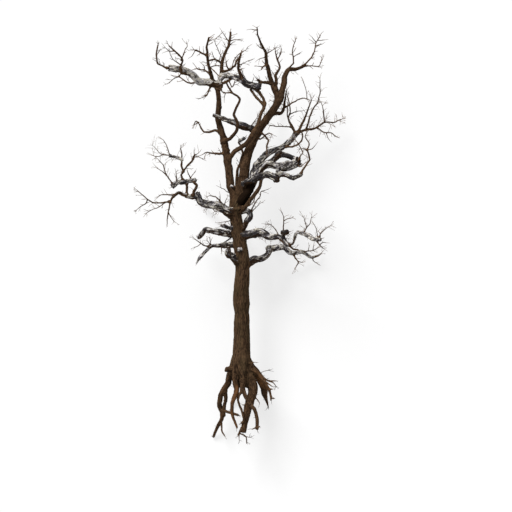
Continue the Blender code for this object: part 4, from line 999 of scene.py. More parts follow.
# Sizes of features round and along a limb, the first three in its usual radii, the rest in metres.
LUMPS = (2.4, 2.4, 3.6)
FLUTES = (1.0, 1.0, 5.0)
WARTS = (1.3, 1.3, 1.3)
CRUMBS = (0.035, 0.035, 0.08)
FIBRES = (0.028, 0.028, 0.2)
FLUTE_MIDDLE = 0.22  # the level of noise at which a flute neither rises nor sinks
GROOVE = (-0.22, -0.08)  # flute levels between which a groove turns from dark to light
WART_LEVELS = (0.3, 0.75)  # noise between which a wart rises
PLATE_LEVEL = 0.7  # bark height that lies on the limb's own surface
CRUMB_DEPTH = 0.25  # crumbs and fibres against the furrows' depth
FIBRE_DEPTH = 0.2


def shape_surface(line, mesh, places, grain):
    """Swells, flutes and furrows a limb's tube, and returns its bark height, from 0 to 1."""
    wood = WOODS[line.wood]
    look = bpy.context.scene.dead_tree_wood
    radius = np.interp(grain[:, 2], line.run, line.radii)
    typical = float(np.mean(line.radii))
    lumps = soft_noise(grain, scaled(LUMPS, typical), 2)
    flutes = np.abs(soft_noise(grain + SHIFT["flutes"], scaled(FLUTES, typical))) - FLUTE_MIDDLE
    warts = smooth_step(soft_noise(grain + SHIFT["warts"], scaled(WARTS, typical)), *WART_LEVELS)
    height = furrow_height(grain, wood.furrow_width, wood.furrow_length)
    crumbs = soft_noise(grain + SHIFT["crumbs"], CRUMBS, 2)
    fibres = soft_noise(grain + SHIFT["fibres"], FIBRES)
    depth = np.minimum(relief_depth(line.wood), RELIEF_SHARE * radius)
    offset = radius * look.gnarl * (wood.swelling * lumps + wood.flute * flutes + wood.wart * warts)
    offset += depth * (height - PLATE_LEVEL + CRUMB_DEPTH * crumbs + FIBRE_DEPTH * fibres)
    offset += blend_offsets(line, places) + ridge_offsets(places)
    if line.name == "trunk":
        offset += buttresses(line, places, grain, radius)
    shaped = places + vertex_normals(mesh) * offset[:, None]
    shaped[:, 2] = np.maximum(shaped[:, 2], 0.0)
    set_points(mesh, shaped)
    groove = smooth_step(flutes, *GROOVE) * 0.5 + 0.5 if wood.flute > WOODS[BARK].flute else 1.0
    return np.clip((height + 0.2 * crumbs) * groove, 0.0, 1.0)


def ridge_offsets(places):
    """How far each point stands out on the ridges that run over the bark."""
    swell = np.zeros(len(places))
    for height, width, route in RIDGES:
        stations = [(COLLAR + LEAN @ Vector(point), width) for point in route]
        middle = smooth_route(stations, RIDGE_STEP)[0]
        reach = RIDGE_REACH * width
        low, high = middle.min(axis=0) - reach, middle.max(axis=0) + reach
        near = np.flatnonzero(((places > low) & (places < high)).all(axis=1))
        if len(near):
            gap = np.linalg.norm(places[near][:, None] - middle[None], axis=2).min(axis=1)
            swell[near] = np.maximum(swell[near], height * np.exp(-((gap / width) ** 2)))
    return swell


def buttresses(line, places, grain, radius):
    """Ridges that run up the trunk from its roots, and the hollows between them."""
    lines = limb_lines()
    nearest = np.clip(np.searchsorted(line.run, grain[:, 2]), 0, len(line.run) - 1)
    bearing = unit_rows(places - line.places[nearest])
    ridge = np.zeros(len(places))
    rise = np.zeros(len(places))
    for name in ROOTS:
        if name in WITHOUT_BUTTRESS:
            continue
        root = lines[name]
        start = int(np.argmax(outside(root.places, line) > 0.0))
        station = int(np.argmin(np.linalg.norm(line.places - root.places[start], axis=1)))
        away = root.places[start] - line.places[station]
        away -= line.ahead[station] * (away @ line.ahead[station])
        turn = np.arccos(np.clip(bearing @ (away / np.linalg.norm(away)), -1.0, 1.0))
        width = BUTTRESS_WIDTH * root.radii[start]
        shape = np.exp(-((turn * radius / width) ** 2))
        fade = 1.0 - smooth_step(grain[:, 2], line.run[station], line.run[station] + BUTTRESS_RISE)
        ridge = np.maximum(ridge, shape * fade)
        rise = np.maximum(rise, shape * fade * root.radii[start] * BUTTRESS_DEPTH)
    low = 1.0 - smooth_step(grain[:, 2], HOLLOW_FULL, HOLLOW_RISE)
    return rise - HOLLOW_DEPTH * radius * (1.0 - ridge) * low


SPLINTER_SIZES = (0.35, 0.15)  # sizes of a broken end's long and short splinters, in its radii
SPLINTER_LENGTH = 0.3


def roughen_break(line, mesh, rows, sides):
    """Splinters the rim and the face of a broken end."""
    first = (rows - len(BROKEN_END) - 1) * sides
    points = np.empty(len(mesh.vertices) * 3, np.float32)
    mesh.vertices.foreach_get("co", points)
    points = points.reshape(-1, 3).astype(float)
    end = np.arange(first, rows * sides + 2)
    end = end[end != rows * sides]
    radius = line.radii[-1]
    long, short = ((size * radius,) * 3 for size in SPLINTER_SIZES)
    jag = soft_noise(points[end] + SHIFT["splinters"], long) + 0.5 * soft_noise(points[end], short)
    points[end] += line.ahead[-1] * (SPLINTER_LENGTH * radius * jag)[:, None]
    points[:, 2] = np.maximum(points[:, 2], 0.0)
    set_points(mesh, points)


PATCHES = (0.2, 0.2, 0.34)  # sizes of the patches of cover and of bleaching
BLEACHING = (0.16, 0.16, 0.3)
SPREAD_BY = 0.45  # share of a limb at which its crust has the tip's cover
COVER_BY_SIDE = 0.95  # how much the side toward the light and the patches add to the cover, partly weathering and partly painted light
COVER_BY_PATCH = 0.55
CRUST_PAINTED_LIGHT = 0.22  # how much painted light on the side toward the light, and the patches, add to how pale the wood is
PALE_BY_PATCH = 0.6
RUST_BEGINS = (0.05, 0.3)  # shares of a root between which rust sets in
BARK_PAINTED_LIGHT = 0.5  # how much painted light on the side toward the light, with painted shade on the far side, and slenderness lighten brown bark
BROWN_BY_SLENDER = 0.9


def weathering(line, mesh, grain):
    """How much crust, stain or rust covers each point, and how pale the wood is there, with painted light
    and shade by the side toward the light.
    """
    share = np.clip(grain[:, 2] / line.run[-1], 0.0, 1.0)
    lit = vertex_normals(mesh) @ np.array(LIGHT_AND_WEATHER_SIDE)
    patches = soft_noise(grain + SHIFT["patches"], PATCHES, 2)
    if line.name in CRUSTED:
        foot, tip, foot_pale, tip_pale = CRUSTED[line.name]
        cover = foot + (tip - foot) * smooth_step(share, 0.0, SPREAD_BY)
        # Partly painted light: the crust is thicker and paler on the side toward the key light.
        cover = cover + COVER_BY_SIDE * lit + COVER_BY_PATCH * patches
        pale = foot_pale + (tip_pale - foot_pale) * share + CRUST_PAINTED_LIGHT * lit
        pale += PALE_BY_PATCH * soft_noise(grain + SHIFT["bleaching"], BLEACHING, 2)
        return np.clip(cover, 0.0, 1.5), np.clip(pale, 0.0, 1.0)
    if line.wood == ROOT:
        rust = RUSTED.get(frame_limb(line.name), LEAST_RUST) * smooth_step(share, *RUST_BEGINS)
        cover = np.clip(rust * (1.0 + patches), 0.0, 1.0)
    else:
        cover = np.full(len(grain), STAINED[line.wood])
    slender = 1.0 - smooth_step(line.radii.max(), *SLENDER)
    # Painted light and shade: brown bark is lighter toward the key light and darker away from it; on
    # stem_side the table below the bark's tone adds painted shade of the hollow at the fork.
    pale = 0.5 + BARK_PAINTED_LIGHT * lit + BROWN_BY_SLENDER * slender - PAINTED_SHADE_AND_TONE.get(line.name, 0.0)
    return cover, pale


def add_piece(name, mesh, nodes=()):
    piece = add_object(name, mesh)
    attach(piece, "root")
    if nodes:
        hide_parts(*nodes)
    return piece


def bark_mesh(line, broken=False, cell=(0, 0, 1)):
    """A limb with its bark, knots, blended foot, weathering, and painted light and shade."""
    girth = 2.0 * math.pi * float(np.mean(line.radii))
    sides = max(FEWEST_SIDES, round(girth / (CELL_SHAPE * (line.run[1] - line.run[0]))))
    places, grain, run = tube_shape(line, sides, broken)
    rows = (len(places) - 2) // sides
    mesh = mesh_from(line.name + "_wood", places, *tube_faces(rows, sides))
    height = shape_surface(line, mesh, places, grain)
    if broken:
        roughen_break(line, mesh, rows, sides)
    cover, pale = weathering(line, mesh, grain)
    lay_out_strips(mesh, rows, sides, run, girth, cell)
    give_vectors(mesh, "grain", grain)
    give_values(mesh, "relief", height)
    give_values(mesh, "cover", cover)
    give_values(mesh, "pale", pale)
    mesh.materials.append(wood_materials()["streaked" if line.name in STREAKED else line.wood])
    if broken:
        mesh.materials.append(wood_materials()["broken"])
        mark_break(mesh, rows, sides)
    return mesh


def add_limb(name):
    """Replaces one limb of the frame."""
    line = limb_lines()[name]
    piece_name = "trunk_bole" if name == "trunk" else name + "_limb"
    return add_piece(piece_name, bark_mesh(line, name in BROKEN), (name,))


def mark_break(mesh, rows, sides):
    """Gives the faces of a broken end the look of torn wood."""
    slots = np.zeros(len(mesh.polygons), np.int32)
    slots[(rows - len(BROKEN_END)) * sides:(rows - 1) * sides] = 1
    slots[-sides:] = 1
    mesh.polygons.foreach_set("material_index", slots)


# ---------------------------------------------------------------- materials


def add_node(tree, kind, inputs=None, **settings):
    """A shader node with its settings, and a value or a socket for each input named."""
    made = tree.nodes.new(kind)
    for name, value in settings.items():
        setattr(made, name, value)
    for name, value in (inputs or {}).items():
        if isinstance(value, NodeSocket):
            tree.links.new(value, made.inputs[name])
        else:
            made.inputs[name].default_value = value
    return made


def add_ramp(tree, factor, stops):
    """A colour ramp fed by a factor, from a list of positions and colours."""
    made = add_node(tree, "ShaderNodeValToRGB", {"Fac": factor})
    elements = made.color_ramp.elements
    while len(elements) < len(stops):
        elements.new(0.5)
    for element, (position, colour) in zip(elements, stops):
        element.position = position
        element.color = (*colour, 1.0)
    return made.outputs["Color"]


def add_value(tree, operation, first, second):
    return add_node(tree, "ShaderNodeMath", {0: first, 1: second}, operation=operation).outputs["Value"]


def add_mix(tree, factor, first, second, kind="MIX"):
    """A mix of two colours. On the node, 6 and 7 are its colour inputs and 2 its colour output."""
    inputs = {0: factor, 6: first, 7: second}
    for number in (6, 7):
        if not isinstance(inputs[number], NodeSocket):
            inputs[number] = (*inputs[number], 1.0)
    return add_node(tree, "ShaderNodeMix", inputs, data_type="RGBA", blend_type=kind).outputs[2]


def add_attribute(tree, name, output):
    return add_node(tree, "ShaderNodeAttribute", attribute_name=name).outputs[output]


def add_noise(tree, vector, scale, detail=3.0, offset=(0.0, 0.0, 0.0)):
    """Noise in the grain's own space, with its own scale round and along the limb."""
    place = add_node(tree, "ShaderNodeMapping", {"Vector": vector, "Scale": scale, "Location": offset})
    made = add_node(
        tree, "ShaderNodeTexNoise", {"Vector": place.outputs["Vector"], "Scale": 1.0, "Detail": detail}
    )
    return made.outputs["Fac"]


WOOD_SHEEN = 0.02
BARK_ROUGHNESS = 0.92
CRUST_ROUGHNESS = 0.88
TORN_ROUGHNESS = 0.95
PLAIN_ROUGHNESS = 0.9
BUMP_STRENGTH = 0.55
BLACK, WHITE = (0.0,) * 3, (1.0,) * 3
DEEPEST_PAINTED_SHADE = (0.16,) * 3  # share of its colour that bark keeps in the deepest painted shade
# Features of each noise per metre, across the grain twice and along it.
FINE_FIBRES = (70.0, 70.0, 9.0)
STREAKS = (15.0, 15.0, 1.8)
STAINS = (2.3, 2.3, 1.1)
CRUST_STREAKS = (38.0, 38.0, 4.5)
TINTS = (7.0, 7.0, 5.0)
SPLINTERS = (60.0, 60.0, 60.0)


def start_material(name, roughness):
    material = bpy.data.materials.new(name)
    material.use_nodes = True
    tree = material.node_tree
    shader = tree.nodes["Principled BSDF"]
    shader.inputs["Roughness"].default_value = roughness
    shader.inputs["Specular IOR Level"].default_value = WOOD_SHEEN
    return material, tree, shader


def add_level(tree, *parts):
    """The sum of sockets, each weighted and counted from its own middle."""
    total = 0.0
    for socket, weight, middle in parts:
        weighted = add_node(
            tree, "ShaderNodeMath", {0: socket, 1: weight, 2: total if total else -weight * middle},
            operation="MULTIPLY_ADD",
        ).outputs["Value"]
        if total:
            weighted = add_value(tree, "ADD", weighted, -weight * middle)
        total = weighted
    return total


def bark_colour(tree, grain, stain, cover):
    """Brown bark: dark in the furrows and in painted shade, lighter in painted light, streaked along the
    grain, stained.
    """
    look = bpy.context.scene.dead_tree_wood
    ridge, furrow = tuple(look.bark_ridge), tuple(look.bark_furrow)
    middle = tuple((a + b) / 2 for a, b in zip(ridge, furrow))
    relief = add_attribute(tree, "relief", "Fac")
    lit_and_tone = add_attribute(tree, "pale", "Fac")
    fibre = add_noise(tree, grain, FINE_FIBRES, 4.0)
    streak = add_noise(tree, grain, STREAKS, 3.0, (3.0, 5.0, 1.0))
    # The pale value lifts the bark's level: painted light on the side toward the light, painted shade on
    # the far side, and a lighter tone on slender limbs.
    level = add_level(
        tree, (relief, 0.21, 0.0), (fibre, 0.7, 0.5), (streak, 0.4, 0.5), (lit_and_tone, 0.14, 0.55)
    )
    bark = add_ramp(
        tree, level,
        [(0.0, scaled(furrow, 0.7)), (0.06, furrow), (0.14, middle), (0.26, ridge),
         (0.45, scaled(ridge, 1.45))],
    )
    broad = add_noise(tree, grain, STAINS, 3.0, (4.0, 2.0, 8.0))
    mask = add_ramp(tree, broad, [(0.42, BLACK), (0.62, WHITE)])
    stained = add_mix(tree, add_value(tree, "MULTIPLY", mask, cover), bark, stain)
    # Painted shade: where the pale value is far below nought, as on stem_side in the hollow at the fork,
    # the bark is darkened, the more on the side away from the light.
    shade_level = add_level(tree, (lit_and_tone, 0.5, -2.0))
    painted_shade = add_ramp(tree, shade_level, [(0.1, DEEPEST_PAINTED_SHADE), (0.7, WHITE)])
    return add_mix(tree, 1.0, stained, painted_shade, "MULTIPLY"), fibre


def finish_bark(tree, shader, colour, height, bump_depth):
    bump = add_node(
        tree, "ShaderNodeBump", {"Height": height, "Strength": BUMP_STRENGTH, "Distance": bump_depth}
    )
    tree.links.new(bump.outputs["Normal"], shader.inputs["Normal"])
    tree.links.new(colour, shader.inputs["Base Color"])


def plain_bark(name, stain, bump_depth):
    """Brown bark with patches of one stain."""
    material, tree, shader = start_material(name, BARK_ROUGHNESS)
    grain = add_attribute(tree, "grain", "Vector")
    colour, fibre = bark_colour(tree, grain, stain, add_attribute(tree, "cover", "Fac"))
    finish_bark(tree, shader, colour, fibre, bump_depth)
    return material


def crusted_bark(name, mottle_scale, mottle_weight, streak_weight):
    """Bark under a pale crust, mottled or streaked, that covers mostly the side toward the light and is
    painted paler there: partly weathering, partly painted light.
    """
    look = bpy.context.scene.dead_tree_wood
    material, tree, shader = start_material(name, CRUST_ROUGHNESS)
    grain = add_attribute(tree, "grain", "Vector")
    bark, fibre = bark_colour(tree, grain, tuple(look.bark_furrow), 0.5)
    relief = add_attribute(tree, "relief", "Fac")
    mottle = add_noise(tree, grain, mottle_scale, 4.0, (1.0, 7.0, 3.0))
    streak = add_noise(tree, grain, CRUST_STREAKS, 3.0, (9.0, 1.0, 2.0))
    pale = add_attribute(tree, "pale", "Fac")
    level = add_level(
        tree, (pale, 0.9, 0.0), (mottle, mottle_weight, 0.5), (streak, streak_weight, 0.5),
        (relief, 0.6, 0.8),
    )
    crust = add_ramp(
        tree, level,
        [(0.06, scaled(look.crust_dark, 0.35)), (0.24, tuple(look.crust_dark)),
         (0.48, tuple(look.crust_middle)), (0.8, tuple(look.crust_pale))],
    )
    tint = add_noise(tree, grain, TINTS, 2.0, (2.0, 6.0, 4.0))
    tinted = add_ramp(tree, tint, [(0.4, tuple(look.crust_cool)), (0.6, tuple(look.crust_warm))])
    crust = add_mix(tree, 1.0, crust, tinted, "MULTIPLY")
    cover = add_attribute(tree, "cover", "Fac")
    ragged = add_level(tree, (cover, 1.0, 0.0), (mottle, 1.6, 0.5), (streak, 0.8, 0.5))
    edge = add_ramp(tree, ragged, [(0.46, BLACK), (0.56, WHITE)])
    colour = add_mix(tree, edge, bark, crust)
    height = add_value(tree, "ADD", fibre, add_value(tree, "MULTIPLY", edge, 0.6))
    finish_bark(tree, shader, colour, height, 0.01)
    return material


def broken_wood(name):
    """Torn, darkened wood at a broken end."""
    material, tree, shader = start_material(name, TORN_ROUGHNESS)
    grain = add_attribute(tree, "grain", "Vector")
    splinters = add_noise(tree, grain, SPLINTERS, 4.0)
    colour = add_ramp(
        tree, splinters,
        [(0.3, (0.012, 0.009, 0.008)), (0.55, (0.04, 0.028, 0.022)), (0.75, (0.11, 0.085, 0.07))],
    )
    finish_bark(tree, shader, colour, splinters, 0.012)
    return material


@functools.cache
def wood_materials():
    """The finish of each kind of wood, of streaked crust and of broken ends."""
    look = bpy.context.scene.dead_tree_wood
    return {
        TRUNK_BARK: plain_bark("trunk_bark_furrowed", tuple(look.bark_stain), 0.012),
        BARK: plain_bark("limb_bark_rough", scaled(look.bark_furrow, 1.1), 0.008),
        ROOT: plain_bark("root_bark_stained", tuple(look.root_stain), 0.008),
        WEATHERED: crusted_bark("limb_bark_mottled", (11.0, 11.0, 5.5), 1.7, 0.8),
        "streaked": crusted_bark("limb_bark_streaked", (9.0, 9.0, 2.6), 1.1, 1.2),
        "broken": broken_wood("broken_wood_dark"),
    }


def plain_finish(name, colour):
    material, _, shader = start_material(name, PLAIN_ROUGHNESS)
    shader.inputs["Base Color"].default_value = (*colour, 1.0)
    return material


# ---------------------------------------------------------------- shoots, twigs and fibres

TWIG_SIDES = 5
TWIG_STEP = 0.065
TWIG_TAPER = 0.4  # width of a twig's tip against its foot
THINNEST_TWIG = 0.011
TWIGS_BEGIN = 0.2  # share of a line that stays free of twigs
TWIG_BEND = 0.1  # spread of a twig's turns, usual and at a kink, and the share of usual ones
TWIG_KINK = 0.34
TWIG_EVEN = 0.82
FORK_ANGLE = (0.6, 1.1)
FORK_LENGTH = (0.5, 0.95)  # a fork's length against what is left of its twig
SHORTEST_FORK = 0.07
FORK_WIDTH = 0.75
SIDE_ANGLE = (0.7, 1.2)  # angles at which twigs leave the side and the tip of a limb
TIP_ANGLE = (0.1, 0.6)
TIP_TWIGS = (1, 2, 2)  # how many twigs end a limb, with equal chances
WIDEST_AT_SIDE = 1.3  # the widest that a twig may be, in radii of its limb
WIDEST_AT_TIP = 1.8
SHORT_SHOOT = 0.5  # shoots up to this length bear few twigs
STARTING_SIDE = (0.31, 0.47, 0.83)  # an odd direction, which tubes hardly ever follow
TWIG_BROWNS = (
    (0.125, 0.071, 0.04), (0.105, 0.06, 0.034), (0.165, 0.1, 0.06), (0.085, 0.05, 0.031),
)
TWIG_GREYS = ((0.25, 0.195, 0.155), (0.31, 0.26, 0.22), (0.2, 0.145, 0.105), (0.15, 0.1, 0.068))
ROOT_BROWNS = (
    (0.06, 0.038, 0.023), (0.082, 0.049, 0.025), (0.05, 0.033, 0.021), (0.11, 0.065, 0.032),
)


class JoinedTubes:
    """Gathers many thin tubes into one mesh, with a plain colour for each."""

    def __init__(self):
        self.points, self.faces, self.colours, self.count = [], [], [], 0

    def add(self, places, radii, sides, colour):
        """A tube along the places, closed to a point at both ends."""
        ahead = unit_rows(np.gradient(places, axis=0))
        side = np.cross(ahead[0], STARTING_SIDE)
        rings = []
        turns = np.linspace(0.0, 2.0 * math.pi, sides, endpoint=False)
        for place, radius, direction in zip(places, radii, ahead):
            side = side - direction * (side @ direction)
            side /= np.linalg.norm(side)
            over = np.cross(direction, side)
            ring = np.cos(turns)[:, None] * side + np.sin(turns)[:, None] * over
            rings.append(place + ring * radius)
        ends = (places[0], places[-1] + ahead[-1] * radii[-1])
        points = np.vstack(rings + [end[None] for end in ends])
        points[:, 2] = np.maximum(points[:, 2], 0.0)
        quads, foot, tip = tube_faces(len(places), sides)
        triangles = np.vstack([quads[:, :3], quads[:, (0, 2, 3)], foot, tip])
        self.points.append(points)
        self.faces.append(triangles + self.count)
        self.colours.append(np.full(len(triangles), colour))
        self.count += len(points)

    def make(self, name, materials):
        if not self.points:
            raise ValueError(f"{name} has no tubes to join")
        mesh = mesh_from(name + "_mesh", np.vstack(self.points), np.vstack(self.faces))
        for material in materials:
            mesh.materials.append(material)
        mesh.polygons.foreach_set("material_index", np.concatenate(self.colours).astype(np.int32))
        return add_piece(name, mesh)


def twig_limits():
    """The corners of the box that twigs stay in."""
    low, high = CAD_BOX
    spare = (high - low) * REACH
    low, high = low - spare, high + spare
    low.z = FLOOR_CLEARANCE
    return low, high


def turned(direction, chance, angle):
    """The direction turned by an angle, any way round."""
    aside = direction.orthogonal()
    aside.rotate(Matrix.Rotation(chance.uniform(0.0, 2.0 * math.pi), 3, direction))
    return (direction * math.cos(angle) + aside.normalized() * math.sin(angle)).normalized()


def grow_twig(tubes, start, direction, length, width, colour, chance, forks):
    """A kinked twig, and shorter ones that fork from it on alternate sides."""
    low, high = twig_limits()
    steps = max(2, round(length / TWIG_STEP))
    places, heading = [Vector(start)], direction.copy()
    headings = []
    for _ in range(steps):
        spread = TWIG_BEND if chance.random() < TWIG_EVEN else TWIG_KINK
        heading = turned(heading, chance, abs(chance.gauss(0.0, spread)))
        place = places[-1] + heading * length / steps
        for axis in range(3):
            if not low[axis] + width < place[axis] < high[axis] - width:
                heading[axis] = -heading[axis]
                place = places[-1] + heading * length / steps
        places.append(place)
        headings.append(heading.copy())
    sizes = np.linspace(width / 2, width / 2 * TWIG_TAPER, steps + 1)
    tubes.add(np.array(places), sizes, TWIG_SIDES, colour)
    if not forks:
        return
    for step in range(1, steps):
        if chance.random() < forks[0]:
            side = turned(headings[step], chance, chance.uniform(*FORK_ANGLE))
            left = length * (1.0 - step / steps)
            grow_twig(
                tubes, places[step], side, max(SHORTEST_FORK, left * chance.uniform(*FORK_LENGTH)),
                max(THINNEST_TWIG, width * FORK_WIDTH), colour, chance, forks[1:],
            )


def twig_side(line, step, chance, angle):
    """A direction that leaves a line sideways, at an angle to its course."""
    turn = chance.uniform(0.0, 2.0 * math.pi)
    sideways = line.side[step] * math.cos(turn) + line.over[step] * math.sin(turn)
    return Vector(line.ahead[step] * math.cos(angle) + sideways * math.sin(angle))


def dress_line(tubes, line, chance, growth, colour):
    """Twigs along the outer part of a line, and a spray at its tip."""
    lengths, forks = (growth.shortest, growth.longest), growth.forks
    widest = bpy.context.scene.dead_tree_twigs.twig_width * growth.stoutness
    distance = line.run[-1] * TWIGS_BEGIN + chance.uniform(0.0, growth.spacing)
    while distance < line.run[-1]:
        step = int(np.searchsorted(line.run, distance))
        direction = twig_side(line, step, chance, chance.uniform(*SIDE_ANGLE))
        width = min(widest, WIDEST_AT_SIDE * float(line.radii[step]))
        grow_twig(
            tubes, line.places[step], direction, chance.uniform(*lengths) + float(line.radii[step]),
            width, colour, chance, forks,
        )
        distance += growth.spacing * chance.uniform(*UNEVEN)
    for _ in range(chance.choice(TIP_TWIGS)):
        direction = twig_side(line, -1, chance, chance.uniform(*TIP_ANGLE))
        width = min(widest, WIDEST_AT_TIP * float(line.radii[-1]))
        length = chance.uniform(*lengths)
        grow_twig(tubes, line.places[-1], direction, length, width, colour, chance, forks)


# How twigs grow: their spacing, length range and width against the twigs' own, and the chance of a
# fork at each step, level by level.
Growth = namedtuple("Growth", "spacing shortest longest stoutness forks")
SPARSE = Growth(0.3, 0.12, 0.32, 1.3, (0.12,))
SPIKY = Growth(0.2, 0.16, 0.44, 1.75, (0.16,))
FINE = Growth(0.21, 0.16, 0.46, 1.15, (0.2, 0.08))
FEATHERY = Growth(0.15, 0.26, 0.64, 1.15, (0.22, 0.12))
BUSHY = Growth(0.2, 0.35, 0.8, 1.15, (0.35, 0.25))
HAIRY = Growth(0.35, 0.08, 0.24, 1.0, (0.1,))
FIBROUS = Growth(0.55, 0.1, 0.28, 1.1, (0.15,))
LIMB_GROWTH = {
    "top_left": SPARSE, "top_mid": SPIKY, "top_right": SPARSE, "top_right_tip": SPIKY, "elbow": SPARSE,
    "head_tip": SPIKY, "head_riser": SPIKY, "spike_left": SPIKY, "spike_mid": SPIKY, "spike_right": SPIKY,
    "squiggle": SPARSE, "crown_right_a": FEATHERY, "crown_right_b": FEATHERY, "crown_right_c": FEATHERY,
    "left_cup": SPARSE, "left_out": FINE, "left_shoot": FINE, "left_fork": FEATHERY, "left_low": HAIRY,
    "right_upper_out": SPARSE, "right_lower_out": HAIRY, "left_crook": HAIRY, "bough_low_tail": HAIRY,
    "left_bar": HAIRY, "back_left": BUSHY, "back_right": BUSHY, "back_centre": BUSHY, "back_high": BUSHY,
}
# Limbs whose shoots bear thorn-like twigs, and limbs whose twigs are grey.
THORNY = {
    "head_left", "head_right", "head_tip", "head_riser", "spike_left", "spike_mid", "spike_right",
    "top_left", "top_mid", "top_right", "top_right_tip", "stem_left",
}
GREY_BEARERS = {
    "left_crook", "left_bar", "left_fork", "right_upper_out", "right_lower_out", "crown_right_a",
    "crown_right_c", "left_low", "back_left", "back_right",
}


def join_meshes(name, meshes):
    """One mesh that holds all the meshes."""
    parts = [add_object(name, mesh) for mesh in meshes]
    with bpy.context.temp_override(active_object=parts[0], selected_editable_objects=parts):
        bpy.ops.object.join()
    joined = parts[0].data
    bpy.data.objects.remove(parts[0])
    joined.name = name + "_mesh"
    return joined


def make_shoots(name, wood):
    """Joins the small limbs of one kind of wood into one piece."""
    lines = [line for line in shoot_lines().values() if line.wood == wood]
    cells = math.ceil(math.sqrt(len(lines)))
    meshes = [bark_mesh(line, cell=(*divmod(number, cells), cells)) for number, line in enumerate(lines)]
    return add_piece(name, join_meshes(name, meshes))


def make_twigs(name, lines, colours):
    """Joins the twigs on the lines into one piece, from draws that are the same on each run."""
    tubes = JoinedTubes()
    seed = bpy.context.scene.dead_tree_twigs.seed
    for line, growth in lines:
        chance = random.Random(f"{seed} {line.name} twigs")
        colour = chance.randrange(len(colours))
        dress_line(tubes, line, chance, growth, colour)
    finishes = [plain_finish(f"{name}_tone_{number}", colour) for number, colour in enumerate(colours)]
    return tubes.make(name, finishes)


def twig_bearers(grey):
    """The lines above the roots that bear twigs, each with its manner of growth."""
    found = []
    for name, growth in LIMB_GROWTH.items():
        if (name in GREY_BEARERS) == grey:
            found.append((limb_lines()[name], growth))
    for name, line in shoot_lines().items():
        if line.wood != ROOT and (frame_limb(name) in GREY_BEARERS) == grey:
            usual = SPIKY if frame_limb(name) in THORNY else FINE
            found.append((line, usual if line.run[-1] > SHORT_SHOOT else SPARSE))
    return found


def fibre_bearers():
    """The roots and the small roots, each with its manner of growth."""
    lines = [limb_lines()[name] for name in ROOTS]
    lines += [line for line in shoot_lines().values() if line.wood == ROOT]
    return [(line, FIBROUS) for line in lines]


# ---------------------------------------------------------------- stage

FLOOR_RADIUS = 900.0
FLOOR_SIDES = 64
FLOOR_GAP = 0.001  # how far the floor lies below the tree
HORIZON_GLOW = (0.1, 0.28)  # heights of the sky between which its light falls off
KEY_FROM = (-0.45, 0.8, 0.65)  # where the main light comes from
KEY_SPREAD = math.radians(24)
VIEW_CENTRE = (0.75, 5.45)  # across and up of the middle of the picture
VIEW_WIDTH = 25.6  # how much of the tree's own width and height the picture spans
SENSOR_WIDTH = 36.0  # in millimetres, as Blender counts it
CLIP_FAR = 10.0  # in distances of the camera from the tree


def add_floor():
    """A plain round floor of pale paper, which glows softly."""
    stage = bpy.context.scene.dead_tree_stage
    mesh = bpy.data.meshes.new("floor_mesh")
    corners = [
        (FLOOR_RADIUS * math.cos(turn), FLOOR_RADIUS * math.sin(turn), 0.0)
        for turn in np.linspace(0.0, 2.0 * math.pi, FLOOR_SIDES, endpoint=False)
    ]
    mesh.from_pydata(corners, [], [tuple(range(len(corners)))])
    material, _, shader = start_material("floor_paper", PLAIN_ROUGHNESS)
    shader.inputs["Base Color"].default_value = (*stage.floor_colour, 1.0)
    shader.inputs["Specular IOR Level"].default_value = 0.0
    shader.inputs["Emission Color"].default_value = (1.0, 1.0, 1.0, 1.0)
    shader.inputs["Emission Strength"].default_value = stage.floor_glow
    mesh.materials.append(material)
    floor = add_object("floor", mesh)
    floor.location.z = -FLOOR_GAP


def add_key():
    """A soft far light from the crown's end."""
    lamp = bpy.data.lights.new("key", "SUN")
    lamp.energy = bpy.context.scene.dead_tree_stage.key_strength
    lamp.angle = KEY_SPREAD
    light = add_object("key", lamp)
    light.rotation_mode = "QUATERNION"
    light.rotation_quaternion = Vector(KEY_FROM).to_track_quat("Z", "Y")


def add_sky():
    """Even light from all round, brighter low down, where it meets the floor."""
    stage = bpy.context.scene.dead_tree_stage
    world = bpy.data.worlds.new("soft_box")
    world.use_nodes = True
    tree = world.node_tree
    direction = add_node(tree, "ShaderNodeTexCoord").outputs["Generated"]
    height = add_node(tree, "ShaderNodeSeparateXYZ", {"Vector": direction}).outputs["Z"]
    strength = add_node(
        tree, "ShaderNodeMapRange",
        {"Value": height, "From Min": HORIZON_GLOW[0], "From Max": HORIZON_GLOW[1], "To Min": 1.0,
         "To Max": stage.sky_strength},
    ).outputs["Result"]
    background = tree.nodes["Background"]
    background.inputs["Color"].default_value = (1.0, 1.0, 1.0, 1.0)
    tree.links.new(strength, background.inputs["Strength"])
    bpy.context.scene.world = world


def add_camera():
    """Looks straight at the tree's outer side, with its crown at the top of the picture."""
    stage = bpy.context.scene.dead_tree_stage
    data = bpy.data.cameras.new("camera")
    data.sensor_width = SENSOR_WIDTH
    data.lens = SENSOR_WIDTH * stage.camera_distance / VIEW_WIDTH
    data.clip_end = CLIP_FAR * stage.camera_distance
    camera = add_object("camera", data)
    middle = COLLAR + LEAN @ Vector((*VIEW_CENTRE, 0.0))
    axes = Matrix((TREE_ACROSS, TREE_UP, TREE_OUT)).transposed()
    camera.matrix_world = Matrix.Translation(middle + TREE_OUT * stage.camera_distance) @ axes.to_4x4()
    bpy.context.scene.camera = camera


# ---------------------------------------------------------------- settings, operators and panel


